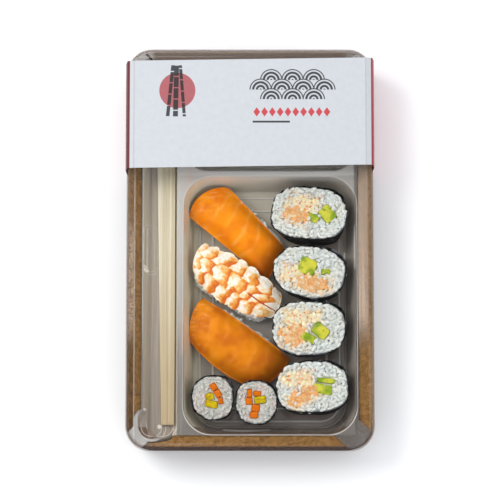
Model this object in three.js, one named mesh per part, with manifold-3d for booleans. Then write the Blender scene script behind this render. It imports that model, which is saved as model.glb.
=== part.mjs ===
// Takeaway sushi tray, shut and sleeved, in millimetres.
// A kraft board collar with fold-in flaps holds a clear thermoformed insert with three wells. The
// large well holds two salmon nigiri, one prawn nigiri, four thick rolls and two thin rolls, and
// the long narrow well holds a joined pair of chopsticks. A clear lid closes the tray, and a card
// sleeve wraps its far end.
// Frame: X across the tray, Y along it towards the sleeve, Z up. The origin is the middle of the
// tray's footprint, on the surface that it stands on.
import * as THREE from "three";
import { mergeVertices } from "three/addons/utils/BufferGeometryUtils.js";
import Module from "manifold-3d";

const wasm = await Module();
wasm.setup();

// Driving dimensions.
const PACK_HALF_X = 69.7; // the lid's skirt, the widest part of the tray below the sleeve
const PACK_HALF_Y = 114;
const CORNER_RADIUS = 13;
const LID_TOP = 41;
const RIM = 30; // top of the carton's outer wall
const LEDGE = 26; // top of the insert's flat ledge
const LEDGE_HALF_X = 60.6;
const LEDGE_HALF_Y = 105.2;
const BOARD = 0.6; // carton board
const FILM = 0.6; // lid and insert
const CARD = 0.4; // sleeve
const GAP = 0.3; // between neighbouring pieces
const FILL_GAP = 0.2; // round a filling in its rice, and between rice and seaweed
const CORNER_STEPS = 4;
const TURN = Math.PI * 2;

// ---------------------------------------------------------------- solids and meshes

function solidOf(geometry) {
  const loose = geometry.index ? geometry.toNonIndexed() : geometry;
  const bare = new THREE.BufferGeometry().setAttribute("position", loose.getAttribute("position"));
  const merged = mergeVertices(bare, 1e-4);
  return new wasm.Manifold(
    new wasm.Mesh({
      numProp: 3,
      vertProperties: merged.attributes.position.array,
      triVerts: new Uint32Array(merged.index.array),
    }),
  );
}

function geometryOf(solid) {
  const { vertProperties, triVerts } = solid.getMesh();
  return new THREE.BufferGeometry()
    .setAttribute("position", new THREE.BufferAttribute(new Float32Array(vertProperties), 3))
    .setIndex(new THREE.BufferAttribute(new Uint32Array(triVerts), 1));
}

function finish(color, roughness) {
  return new THREE.MeshStandardMaterial({ color, roughness, metalness: 0 });
}

function piece(name, solid, material) {
  const mesh = new THREE.Mesh(geometryOf(solid), material);
  mesh.name = name;
  return mesh;
}

function geometryFrom(triangles) {
  return new THREE.BufferGeometry().setFromPoints(triangles);
}

// A closed solid through rings of equal point count, lowest first, each counter-clockwise from above.
function loft(rings) {
  const triangles = [];
  const capOf = (ring) => THREE.ShapeUtils.triangulateShape(ring.map((p) => new THREE.Vector2(p.x, p.y)), []);
  const lowest = rings[0];
  const highest = rings[rings.length - 1];
  for (const [a, b, c] of capOf(lowest)) triangles.push(lowest[a], lowest[c], lowest[b]);
  for (const [a, b, c] of capOf(highest)) triangles.push(highest[a], highest[b], highest[c]);
  for (let k = 1; k < rings.length; k++) {
    const lower = rings[k - 1];
    const upper = rings[k];
    lower.forEach((point, i) => {
      const next = (i + 1) % lower.length;
      triangles.push(point, lower[next], upper[next], point, upper[next], upper[i]);
    });
  }
  return solidOf(geometryFrom(triangles));
}

// A closed solid between an upper and a lower surface, both given over a grid of u and v from 0 to 1.
function slab(uSteps, vSteps, upper, lower) {
  const triangles = [];
  const grid = (surface) =>
    Array.from({ length: uSteps + 1 }, (_, i) =>
      Array.from({ length: vSteps + 1 }, (_, j) => surface(i / uSteps, j / vSteps)),
    );
  const top = grid(upper);
  const bottom = grid(lower);
  const quad = (a, b, c, d) => triangles.push(a, b, c, a, c, d);
  for (let i = 0; i < uSteps; i++) {
    for (let j = 0; j < vSteps; j++) {
      quad(top[i][j], top[i + 1][j], top[i + 1][j + 1], top[i][j + 1]);
      quad(bottom[i][j], bottom[i][j + 1], bottom[i + 1][j + 1], bottom[i + 1][j]);
    }
    quad(bottom[i][0], bottom[i + 1][0], top[i + 1][0], top[i][0]);
    quad(top[i][vSteps], top[i + 1][vSteps], bottom[i + 1][vSteps], bottom[i][vSteps]);
  }
  for (let j = 0; j < vSteps; j++) {
    quad(bottom[0][j + 1], bottom[0][j], top[0][j], top[0][j + 1]);
    quad(bottom[uSteps][j], bottom[uSteps][j + 1], top[uSteps][j + 1], top[uSteps][j]);
  }
  return solidOf(geometryFrom(triangles));
}

// A rounded rectangle at height z, centred on cx, cy.
function ring(halfX, halfY, radius, z, cx = 0, cy = 0) {
  const points = [];
  for (let corner = 0; corner < 4; corner++) {
    const signX = corner === 0 || corner === 3 ? 1 : -1;
    const signY = corner < 2 ? 1 : -1;
    for (let step = 0; step <= CORNER_STEPS; step++) {
      const angle = (corner + step / CORNER_STEPS) * (Math.PI / 2);
      points.push(
        new THREE.Vector3(
          cx + signX * (halfX - radius) + radius * Math.cos(angle),
          cy + signY * (halfY - radius) + radius * Math.sin(angle),
          z,
        ),
      );
    }
  }
  return points;
}

function radians(degrees) {
  return (degrees * Math.PI) / 180;
}

// Seeded random numbers from 0 to 1.
function randomFrom(seed) {
  let state = seed;
  return () => {
    state = (state + 0x6d2b79f5) | 0;
    let t = Math.imul(state ^ (state >>> 15), 1 | state);
    t = (t + Math.imul(t ^ (t >>> 7), 61 | t)) ^ t;
    return ((t ^ (t >>> 14)) >>> 0) / 4294967296;
  };
}

// ---------------------------------------------------------------- carton collar

const CARTON_BASE = 0.75; // above the sleeve's under panel
const CARTON_HALF_X = 69.1;
const CARTON_HALF_Y = 113.2;
const CARTON_FLARE = 1.2; // the wall leans out by this from base to rim
const FLAP_DROP = 5.6; // the flaps slope down by this to their free edge
const FLAP_INNER_X = 61.2;
const FLAP_INNER_Y = 105.3;

// Each corner's gap between two flaps: its width, and how far its middle line is moved along X.
const FLAP_CORNERS = [
  { signX: 1, signY: -1, width: 7, shift: -2.5 },
  { signX: -1, signY: -1, width: 12.5, shift: 0 },
  { signX: 1, signY: 1, width: 9, shift: -1 },
  { signX: -1, signY: 1, width: 9, shift: 1 },
];

function cartonWall() {
  const halfX = CARTON_HALF_X;
  const halfY = CARTON_HALF_Y;
  const outer = loft([
    ring(halfX - CARTON_FLARE, halfY - CARTON_FLARE, CORNER_RADIUS, CARTON_BASE),
    ring(halfX, halfY, CORNER_RADIUS, RIM),
  ]);
  const inner = loft([
    ring(halfX - CARTON_FLARE - BOARD, halfY - CARTON_FLARE - BOARD, CORNER_RADIUS - BOARD, CARTON_BASE - 1),
    ring(halfX - BOARD, halfY - BOARD, CORNER_RADIUS - BOARD, RIM + 1),
  ]);
  return outer.subtract(inner);
}

function cartonFlaps() {
  const hinge = (z) => ring(CARTON_HALF_X - 0.2, CARTON_HALF_Y - 0.2, CORNER_RADIUS, z);
  const free = (z) => ring(FLAP_INNER_X, FLAP_INNER_Y, 4, z);
  const body = loft([free(RIM - FLAP_DROP - BOARD), hinge(RIM - BOARD), hinge(RIM)]);
  const above = loft([free(RIM - FLAP_DROP), hinge(RIM), hinge(RIM + 1)]);
  const opening = loft([free(RIM - 2 * FLAP_DROP), free(RIM + 1)]);
  const cuts = FLAP_CORNERS.map(({ signX, signY, width, shift }) => {
    const reach = 34;
    const box = new THREE.BoxGeometry(reach, width, 3 * FLAP_DROP);
    box.rotateZ(signX * signY * (Math.PI / 4));
    // The gap runs from the ledge's corner out to the wall, and stops inside the wall's board.
    const middle = reach / 2 / Math.SQRT2;
    return solidOf(
      box.translate(
        signX * (FLAP_INNER_X - 6 + middle) + shift,
        signY * (FLAP_INNER_Y - 6 + middle),
        RIM - FLAP_DROP / 2,
      ),
    );
  });
  return body.subtract(above).subtract(opening).subtract(wasm.Manifold.union(cuts));
}

// ---------------------------------------------------------------- clear insert

const EDGE_EASE = 0.9; // the rounded edge where a well drops from the ledge
const FLANGE = 3.6; // the flat rim that lies on the carton
const FOOT_EASE = 1.6; // the round where its wall meets its floor
const WELL_REACH = 2.5; // a well's end may cut this far up the slope round the ledge

// Each well: its middle and half sizes at the ledge, its corner radius, its floor height, how far
// each pair of walls leans in on the way down, and how far the floor lies to the right of the mouth.
const MAIN_WELL = {
  x: 11.3, y: -31.3, halfX: 48.5, halfY: 72.9, radius: 16, floor: 2, leanX: 5, leanY: 5, shiftX: 0,
};
const SAUCE_WELL = {
  x: 11.3, y: 74.2, halfX: 48.5, halfY: 30, radius: 13, floor: 6, leanX: 4.5, leanY: 4.5, shiftX: 0,
};
const STICK_WELL = {
  x: -50.8, y: -0.4, halfX: 9.4, halfY: 106.5, radius: 8, floor: 14, leanX: 1.6, leanY: 1.5, shiftX: 0.9,
};
const GRIP_NOTCH = {
  x: -56.4, y: 1.2, halfX: 3.4, halfY: 13.7, radius: 3, floor: 18.5, leanX: 0.4, leanY: 1, shiftX: 0.2,
};
const END_NOTCH = {
  x: -55.6, y: -98.6, halfX: 7.6, halfY: 8.4, radius: 7.2, floor: 20, leanX: 1, leanY: 1, shiftX: 0.6,
};
const FLOOR_LEAN = 1.25; // the floor's edge lies this much of the walls' lean inside the mouth
const FLOOR_RIBS = [1.6, 9]; // how far in from the main well's floor edge each rib runs
const RIB_WIDTH = 1.6;
const RIB_HEIGHT = 0.8;
const RIB_RADIUS = 12;

// The space in a well and above it, grown by the film's thickness for its outside.
function wellSpace(well, grow) {
  const depth = LEDGE - well.floor;
  const at = (z, inset) =>
    ring(
      well.halfX - inset * well.leanX + grow,
      well.halfY - inset * well.leanY + grow,
      well.radius - inset * Math.min(well.leanX, 1.5) + grow,
      z,
      well.x + inset * well.shiftX,
      well.y,
    );
  const edge = (z) =>
    ring(
      well.halfX + EDGE_EASE + grow,
      well.halfY + EDGE_EASE + grow,
      well.radius + EDGE_EASE + grow,
      z,
      well.x,
      well.y,
    );
  // The floor meets the walls, and the walls meet the ledge, in a small round.
  return loft([
    at(well.floor - grow, FLOOR_LEAN),
    at(well.floor - grow + FOOT_EASE, 1 - FOOT_EASE / depth),
    at(LEDGE - EDGE_EASE - grow, 0),
    edge(LEDGE - grow),
    edge(LEDGE + WELL_REACH),
  ]);
}

function floorRib(inset) {
  const halfX = MAIN_WELL.halfX - MAIN_WELL.leanX * FLOOR_LEAN - inset;
  const halfY = MAIN_WELL.halfY - MAIN_WELL.leanY * FLOOR_LEAN - inset;
  const band = (grow, z) => ring(halfX + grow, halfY + grow, RIB_RADIUS, z, MAIN_WELL.x, MAIN_WELL.y);
  const low = MAIN_WELL.floor - FILM / 2;
  const high = MAIN_WELL.floor + RIB_HEIGHT;
  const outer = loft([band(0, low), band(-RIB_WIDTH / 4, high)]);
  const inner = loft([band(-RIB_WIDTH, low - 1), band(-RIB_WIDTH * 0.75, high + 1)]);
  return outer.subtract(inner);
}

function insertTray() {
  const rimOut = (z) => ring(CARTON_HALF_X - 0.3, CARTON_HALF_Y - 0.3, CORNER_RADIUS, z);
  const rimIn = (z) => ring(CARTON_HALF_X - FLANGE, CARTON_HALF_Y - FLANGE, CORNER_RADIUS - FLANGE / 2, z);
  const foot = (z) => ring(LEDGE_HALF_X, LEDGE_HALF_Y, 6, z);
  const low = RIM + GAP;
  const bowl = loft([foot(LEDGE - FILM), rimIn(low), rimIn(low + FILM)]);
  const flange = loft([rimOut(low), rimOut(low + FILM)]);
  const hollow = loft([foot(LEDGE), rimIn(low + FILM), rimIn(low + FILM + 2)]);
  const wells = [MAIN_WELL, SAUCE_WELL, STICK_WELL, GRIP_NOTCH, END_NOTCH];
  const outsides = wells.map((well) => wellSpace(well, FILM));
  const insides = wells.map((well) => wellSpace(well, 0));
  return bowl
    .add(flange)
    .add(wasm.Manifold.union(outsides))
    .subtract(hollow)
    .subtract(wasm.Manifold.union(insides))
    .add(wasm.Manifold.union(FLOOR_RIBS.map(floorRib)));
}

// The room that the stick well's round ends need in the carton's flaps.
function stickWellRoom() {
  return wellSpace(STICK_WELL, FILM + GAP).add(wellSpace(END_NOTCH, FILM + GAP));
}

// ---------------------------------------------------------------- clear lid

const SKIRT = 3.2; // how far the lid's skirt reaches down over the carton's rim

function clearLid() {
  const radius = CORNER_RADIUS + 0.5;
  const shell = (inset, z) => ring(PACK_HALF_X - inset, PACK_HALF_Y - inset, radius - inset / 2, z);
  const shoulder = RIM + GAP + FILM + 0.25;
  const outside = loft([
    shell(0, RIM - SKIRT),
    shell(0, shoulder + FILM),
    shell(0.6, shoulder + FILM + 0.1),
    shell(1.3, LID_TOP - 1.6),
    shell(1.8, LID_TOP - 0.5),
    shell(3, LID_TOP),
  ]);
  const inside = loft([
    shell(0.35, RIM - SKIRT - 1),
    shell(0.35, shoulder),
    shell(1.2, shoulder + 0.1),
    shell(1.9, LID_TOP - 1.7),
    shell(3, LID_TOP - FILM),
  ]);
  return outside.subtract(inside);
}

// ---------------------------------------------------------------- card sleeve

const SLEEVE_NEAR = 45.2;
const SLEEVE_LENGTH = 61.4;

// Half of the sleeve's outline, from its under panel's bend up to its top panel's bend.
function sleeveSide(sign, grow) {
  const footX = sign * (68.6 + grow);
  const waistX = sign * (PACK_HALF_X + GAP + grow);
  const topX = sign * (PACK_HALF_X - 0.8 + grow);
  const under = CARD - grow;
  const top = LID_TOP + GAP + grow;
  const footBend = 1.2 + grow;
  const topBend = 1.6 + grow;
  return {
    foot: [footX - sign * footBend, under, footX, under, footX, under + footBend],
    waist: [waistX, RIM - SKIRT - 0.5],
    shoulder: [waistX, RIM + 2],
    crown: [topX, top - topBend, topX, top, topX - sign * topBend, top],
  };
}

function sleevePath(path, grow) {
  const right = sleeveSide(1, grow);
  const left = sleeveSide(-1, grow);
  const [footStartX, footStartZ, ...footCurve] = right.foot;
  path.moveTo(footStartX, footStartZ);
  path.quadraticCurveTo(...footCurve);
  path.lineTo(...right.waist);
  path.lineTo(...right.shoulder);
  path.lineTo(right.crown[0], right.crown[1]);
  path.quadraticCurveTo(...right.crown.slice(2));
  path.lineTo(left.crown[4], left.crown[5]);
  path.quadraticCurveTo(left.crown[2], left.crown[3], left.crown[0], left.crown[1]);
  path.lineTo(...left.shoulder);
  path.lineTo(...left.waist);
  path.lineTo(left.foot[4], left.foot[5]);
  path.quadraticCurveTo(left.foot[2], left.foot[3], left.foot[0], left.foot[1]);
  path.closePath();
  return path;
}

function cardSleeve() {
  const section = sleevePath(new THREE.Shape(), CARD);
  section.holes.push(sleevePath(new THREE.Path(), 0));
  const options = { depth: SLEEVE_LENGTH, bevelEnabled: false, curveSegments: 4 };
  const band = new THREE.ExtrudeGeometry(section, options);
  band.rotateX(Math.PI / 2).translate(0, SLEEVE_NEAR + SLEEVE_LENGTH, 0);
  return solidOf(band);
}

// ---------------------------------------------------------------- chopsticks

const STICKS = {
  length: 199.5, nearY: -98.5, thickness: 4.6, nearX: -47.4, nearWidth: 6.4, farX: -48.6, farWidth: 10,
};

// Two square sticks side by side, still joined, with a groove between them above and below.
function chopsticks() {
  const section = (width, thickness, x, y) => {
    const half = width / 2;
    const ease = 0.6;
    const groove = 0.45;
    const upper = [
      [half, thickness - ease],
      [half - ease, thickness],
      [groove, thickness],
      [0, thickness - 2 * groove],
      [-groove, thickness],
      [ease - half, thickness],
      [-half, thickness - ease],
    ];
    const lower = [...upper].reverse().map(([px, pz]) => [px, thickness - pz]);
    // The ring lies in XZ and faces along Y.
    return [...upper, ...lower].map(([px, pz]) => new THREE.Vector3(x + px, pz, -y));
  };
  const near = section(STICKS.nearWidth, STICKS.thickness * 0.8, STICKS.nearX, STICKS.nearY);
  const far = section(STICKS.farWidth, STICKS.thickness, STICKS.farX, STICKS.nearY + STICKS.length);
  const lying = geometryOf(loft([far, near]));
  return solidOf(lying.rotateX(Math.PI / 2).translate(0, 0, STICK_WELL.floor + GAP));
}

// ---------------------------------------------------------------- rice

const GRAIN = { length: 5.4, width: 2.3, height: 2.2 };

// One grain of rice, a low ellipsoid with its poles at its two ends.
function riceGrain(position, turn, pitch) {
  const ball = new THREE.SphereGeometry(1, 5, 3).rotateZ(Math.PI / 2);
  const placed = new THREE.Matrix4().compose(
    position,
    new THREE.Quaternion().setFromEuler(new THREE.Euler(0, pitch, turn, "ZYX")),
    new THREE.Vector3(GRAIN.length / 2, GRAIN.width / 2, GRAIN.height / 2),
  );
  return solidOf(ball.applyMatrix4(placed));
}

// The largest body of a solid, without the crumbs that a cut leaves beside it.
function largestOf(solid) {
  return solid.decompose().sort((a, b) => b.volume() - a.volume())[0];
}

// A cosine or sine bent from a circle's towards a square's, the more so the higher the squareness.
function bent(value, squareness) {
  return Math.sign(value) * Math.abs(value) ** (2 / squareness);
}

// ---------------------------------------------------------------- rolls

const ROLL_POINTS = 26;
const SEAWEED = 0.45;
const FLOOR_REST = MAIN_WELL.floor + RIB_HEIGHT + GAP; // what stands in the main well rests here

// A roll's outline at a share of its height, from its foot at 0 to its cut face at 1.
function rollRing(roll, share, z, grow, overlap = 0) {
  const scaleX = roll.footX + (1 - roll.footX) * share;
  const scaleY = roll.footY + (1 - roll.footY) * share;
  return Array.from({ length: ROLL_POINTS }, (_, i) => {
    const angle = (i / ROLL_POINTS) * TURN;
    const uneven = 1 + 0.018 * Math.sin(2 * angle + roll.seed) + 0.014 * Math.sin(3 * angle + 2 * roll.seed);
    // The sheet's end laps over its start on the right.
    const lap = i > 1 && i < 6 ? overlap : 0;
    const reachX = (roll.width / 2) * scaleX * uneven + grow + lap;
    const reachY = (roll.height / 2) * scaleY * uneven + grow + lap;
    const x = reachX * bent(Math.cos(angle), roll.squareness);
    const y = reachY * bent(Math.sin(angle), roll.squareness);
    return new THREE.Vector3(x, y, z);
  });
}

function rollPrism(roll, low, high, grow, overlap = 0) {
  return loft([rollRing(roll, 0, low, grow, overlap), rollRing(roll, 1, high, grow, overlap)]);
}

// A filling's outline: square-cut, or lumpy where it is a soft mix.
function fillRing(fill, z, grow) {
  const points = fill.soft ? 12 : 8;
  const squareness = fill.soft ? 2.2 : 6;
  const middle = new THREE.Vector2(fill.x, fill.y);
  return Array.from({ length: points }, (_, i) => {
    const angle = ((i + 0.5) / points) * TURN;
    const swell = fill.soft ? 1 + 0.1 * Math.sin(3 * angle + fill.x) : 1;
    const x = (fill.width / 2 + grow) * bent(Math.cos(angle), squareness) * swell;
    const y = (fill.height / 2 + grow) * bent(Math.sin(angle), squareness) * swell;
    const point = new THREE.Vector2(x, y).rotateAround(new THREE.Vector2(), radians(fill.turn)).add(middle);
    return new THREE.Vector3(point.x, point.y, z);
  });
}

function fillPrism(fill, low, high, grow) {
  return loft([fillRing(fill, low, grow), fillRing(fill, high, grow)]);
}

function insideFill(fill, x, y, margin) {
  const point = new THREE.Vector2(x - fill.x, y - fill.y);
  point.rotateAround(new THREE.Vector2(), -radians(fill.turn));
  return Math.abs(point.x) < fill.width / 2 + margin && Math.abs(point.y) < fill.height / 2 + margin;
}

function insideFace(roll, x, y, margin) {
  const shareX = Math.abs(x) / (roll.width / 2 - margin);
  const shareY = Math.abs(y) / (roll.height / 2 - margin);
  return shareX ** roll.squareness + shareY ** roll.squareness < 1;
}

// Grains laid in staggered rows on a roll's cut face, clear of its fillings and of the seaweed.
function faceGrains(roll) {
  const random = randomFrom(roll.seed);
  const grains = [];
  const rows = Math.ceil(roll.height / roll.pitchY);
  const columns = Math.ceil(roll.width / roll.pitchX);
  for (let row = 0; row <= rows; row++) {
    for (let column = 0; column <= columns; column++) {
      const x = (column - columns / 2 + (row % 2) / 2 + (random() - 0.5) * 0.5) * roll.pitchX;
      const y = (row - rows / 2 + (random() - 0.5) * 0.5) * roll.pitchY;
      const turn = random() * Math.PI;
      const pitch = (random() - 0.5) * 0.5;
      const z = roll.tall + (random() - 0.75) * 0.5;
      const reach = GRAIN.length / 2 - 0.4;
      const isFree = [-1, 0, 1].every((end) => {
        const endX = x + end * reach * Math.cos(turn);
        const endY = y + end * reach * Math.sin(turn);
        const isCovered = roll.fills.some((fill) => insideFill(fill, endX, endY, 1));
        return insideFace(roll, endX, endY, 1.4) && !isCovered;
      });
      if (isFree) grains.push(riceGrain(new THREE.Vector3(x, y, z), turn, pitch));
    }
  }
  return grains;
}

// Where a roll stands: its cut face's middle is at x, y, and its lowest edge is on the floor.
function rollPlace(roll) {
  const rotation = new THREE.Euler(roll.leanY, roll.leanX, radians(roll.turn), "YXZ");
  const rise = Math.abs(roll.leanX) * (roll.width / 2) + Math.abs(roll.leanY) * (roll.height / 2);
  const up = new THREE.Vector3(0, 0, roll.tall).applyEuler(rotation);
  const position = new THREE.Vector3(roll.x - up.x, roll.y - up.y, FLOOR_REST + rise);
  return { position, rotation };
}

// A roll stands on its lower cut face: seaweed outside, then rice, then the fillings.
function makeRoll(roll) {
  const group = new THREE.Group();
  const face = roll.tall;
  const rooms = roll.fills.map((fill) => fillPrism(fill, -1, face + 3, FILL_GAP));
  const inside = rollPrism(roll, -1, face + 1.2, -SEAWEED);
  const sheet = rollPrism(roll, 0, face + 0.2, 0, SEAWEED).subtract(inside);
  const core = rollPrism(roll, 0, face, -SEAWEED - FILL_GAP);
  const bounds = rollPrism(roll, 0, face + 3, -SEAWEED - FILL_GAP);
  const rice = wasm.Manifold.union([core, ...faceGrains(roll)])
    .intersect(bounds)
    .subtract(wasm.Manifold.union(rooms));
  group.add(piece(`${roll.name}_seaweed`, sheet, seaweed));
  group.add(piece(`${roll.name}_rice`, largestOf(rice), riceWhite));
  roll.fills.forEach((fill, i) => {
    const whole = fillPrism(fill, 0, face + 0.3, 0);
    const strip = i > 0 ? whole.subtract(wasm.Manifold.union(rooms.slice(0, i))) : whole;
    group.add(piece(`${roll.name}_${fill.name}`, largestOf(strip), fill.material));
  });
  const { position, rotation } = rollPlace(roll);
  group.position.copy(position);
  group.rotation.copy(rotation);
  return group;
}

// The room that a standing roll takes up, with a gap round it, in the tray's own frame.
function rollRoom(roll) {
  const { position, rotation } = rollPlace(roll);
  const turn = new THREE.Quaternion().setFromEuler(rotation);
  const place = new THREE.Matrix4().compose(position, turn, new THREE.Vector3(1, 1, 1));
  return solidOf(geometryOf(rollPrism(roll, -2, roll.tall + 2, SEAWEED + GAP)).applyMatrix4(place));
}

// ---------------------------------------------------------------- nigiri

// The directions along and across a topping, whose corners are given as start near, start far, end
// far and end near.
function toppingAxes(topping) {
  const [startNear, startFar, endFar, endNear] = topping.corners.map(([x, y]) => new THREE.Vector2(x, y));
  const start = startNear.clone().lerp(startFar, 0.5);
  const end = endNear.clone().lerp(endFar, 0.5);
  const along = end.clone().sub(start).normalize();
  const across = new THREE.Vector2(-along.y, along.x);
  return { startNear, startFar, endFar, endNear, start, end, along, across };
}

// A place on the topping's plan, grown outwards by a margin. U runs from its start to its end, and V
// from its near side to its far side. Its four edges bow out, and its corners are rounded.
function toppingPlan(topping, u, v, grow) {
  const { startNear, startFar, endFar, endNear, start, end, along, across } = toppingAxes(topping);
  const near = startNear.clone().lerp(endNear, u);
  const far = startFar.clone().lerp(endFar, u);
  const point = near.lerp(far, v);
  const sideBow = 4 * u * (1 - u) * (topping.farBow * v - topping.nearBow * (1 - v));
  const endBow = 4 * v * (1 - v) * (topping.endBow * u - topping.startBow * (1 - u));
  point.addScaledVector(across, sideBow + grow * (2 * v - 1));
  point.addScaledVector(along, endBow + grow * (2 * u - 1));
  const corner = (Math.abs(2 * u - 1) * Math.abs(2 * v - 1)) ** 6;
  return point.lerp(start.lerp(end, 0.5), topping.rounding * corner);
}

// The height of the topping's upper face: it bends down at its sides and its ends.
function toppingHeight(topping, u, v) {
  const side = topping.sideDrop * Math.abs(2 * v - 1) ** 2.6;
  const start = topping.startDrop * Math.max(0, 1 - 2 * u) ** 3;
  const end = topping.endDrop * Math.max(0, 2 * u - 1) ** 3;
  return topping.top - Math.hypot(side, start + end);
}

// Low waves in a slice of salmon.
function salmonRelief(topping, u, v) {
  return 0.35 * Math.sin(9 * u + 4 * v);
}

// A prawn's muscle segments, which overlap like tiles on both sides of a seam.
function prawnRelief(topping, u, v) {
  const phase = u * topping.segments + 0.35 * Math.abs(2 * v - 1);
  const tile = Math.sin(Math.min((phase % 1) * 1.25, 1) * Math.PI) ** 0.7;
  const seam = Math.exp(-((2 * v - 0.85) ** 2) / 0.02);
  return 1.5 * tile - 1.2 * seam;
}

// The topping's underside: the slice thins out towards its sides.
function toppingUnderside(topping, u, v) {
  return toppingHeight(topping, u, v) - topping.thickness * (1 - 0.3 * Math.abs(2 * v - 1));
}

function toppingSlab(topping, grow, upper, lower) {
  const face = (height) => (u, v) => {
    const { x, y } = toppingPlan(topping, u, v, grow);
    return new THREE.Vector3(x, y, height(u, v));
  };
  return slab(topping.stepsAlong, topping.stepsAcross, face(upper), face(lower));
}

function toppingSolid(topping) {
  const upper = (u, v) => toppingHeight(topping, u, v) + topping.relief(topping, u, v);
  return toppingSlab(topping, 0, upper, (u, v) => toppingUnderside(topping, u, v));
}

// All the room from the topping's underside up, with a gap below and round it. The gap is measured
// upright, so it is the wider for the steep sides.
function toppingRoom(topping) {
  return toppingSlab(topping, GAP, () => LID_TOP, (u, v) => toppingUnderside(topping, u, v) - 3 * GAP);
}

// The pressed block of rice under a topping, moved a little towards its far side, where it shows.
function riceBlock(topping) {
  const { start, end, along, across } = toppingAxes(topping);
  const length = start.distanceTo(end) - 2 * topping.riceInset;
  const { riceWidth: width, riceHeight: height } = topping;
  const core = loft([
    ring(length / 2 - 2.5, width / 2 - 2, 6, 0),
    ring(length / 2 - 0.5, width / 2 - 0.3, 7, 3.5),
    ring(length / 2, width / 2, 7, 8),
    ring(length / 2 - 4, width / 2 - 3, 6, height),
  ]);
  const random = randomFrom(topping.seed);
  const grains = Array.from({ length: topping.grains }, (_, i) => {
    const angle = ((i + random() * 0.5) / topping.grains) * TURN;
    const z = 2 + 8 * ((i * 0.618) % 1);
    const x = (length / 2 - 0.9) * bent(Math.cos(angle), 4);
    const y = (width / 2 - 0.7) * bent(Math.sin(angle), 4);
    const turn = Math.atan2(Math.cos(angle) * width, -Math.sin(angle) * length) + (random() - 0.5) * 1.1;
    return riceGrain(new THREE.Vector3(x, y, z), turn, (random() - 0.5) * 1.2);
  });
  const middle = start.lerp(end, 0.5).addScaledVector(across, topping.riceShift);
  const block = geometryOf(wasm.Manifold.union([core, ...grains])).rotateZ(along.angle());
  return solidOf(block.translate(middle.x, middle.y, FLOOR_REST));
}

// A topping lies on its rice, and both give way to the rolls beside them.
function makeNigiri(topping, rollRooms) {
  const group = new THREE.Group();
  const rice = riceBlock(topping).subtract(toppingRoom(topping)).subtract(rollRooms);
  const slice = toppingSolid(topping).subtract(rollRooms);
  group.add(piece(`${topping.name}_rice`, largestOf(rice), riceWhite));
  group.add(piece(`${topping.name}_${topping.sliceName}`, largestOf(slice), topping.material));
  return group;
}

// ---------------------------------------------------------------- the food

const seaweed = finish(0x17191a, 0.45);
const riceWhite = finish(0xe9e8df, 0.5);
const salmonOrange = finish(0xf08a24, 0.35);
const prawnPeach = finish(0xf3c79a, 0.4);
const fishPink = finish(0xeb9a66, 0.5);
const crabCream = finish(0xf2dba8, 0.55);
const avocadoGreen = finish(0xa6bf2e, 0.5);
const carrotOrange = finish(0xe8741a, 0.45);
const radishYellow = finish(0xe3c21c, 0.4);

// A filling runs through its roll: its middle on the cut face, its two widths and its turn.
function filling(name, material, soft, x, y, width, height, turn) {
  return { name, material, soft, x, y, width, height, turn };
}
const fish = (...place) => filling("salmon", fishPink, true, ...place);
const crab = (...place) => filling("crab", crabCream, true, ...place);
const avocado = (letter, ...place) => filling(`avocado_${letter}`, avocadoGreen, false, ...place);
const carrot = (letter, ...place) => filling(`carrot_${letter}`, carrotOrange, false, ...place);
const radish = (letter, ...place) => filling(`radish_${letter}`, radishYellow, false, ...place);

const THICK = { tall: 21.5, pitchX: 5.6, pitchY: 3.1, footX: 0.93, footY: 0.97, squareness: 2.5 };
const THIN = { tall: 19.5, pitchX: 5, pitchY: 3.1, footX: 0.94, footY: 0.96, squareness: 2.3 };

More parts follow.
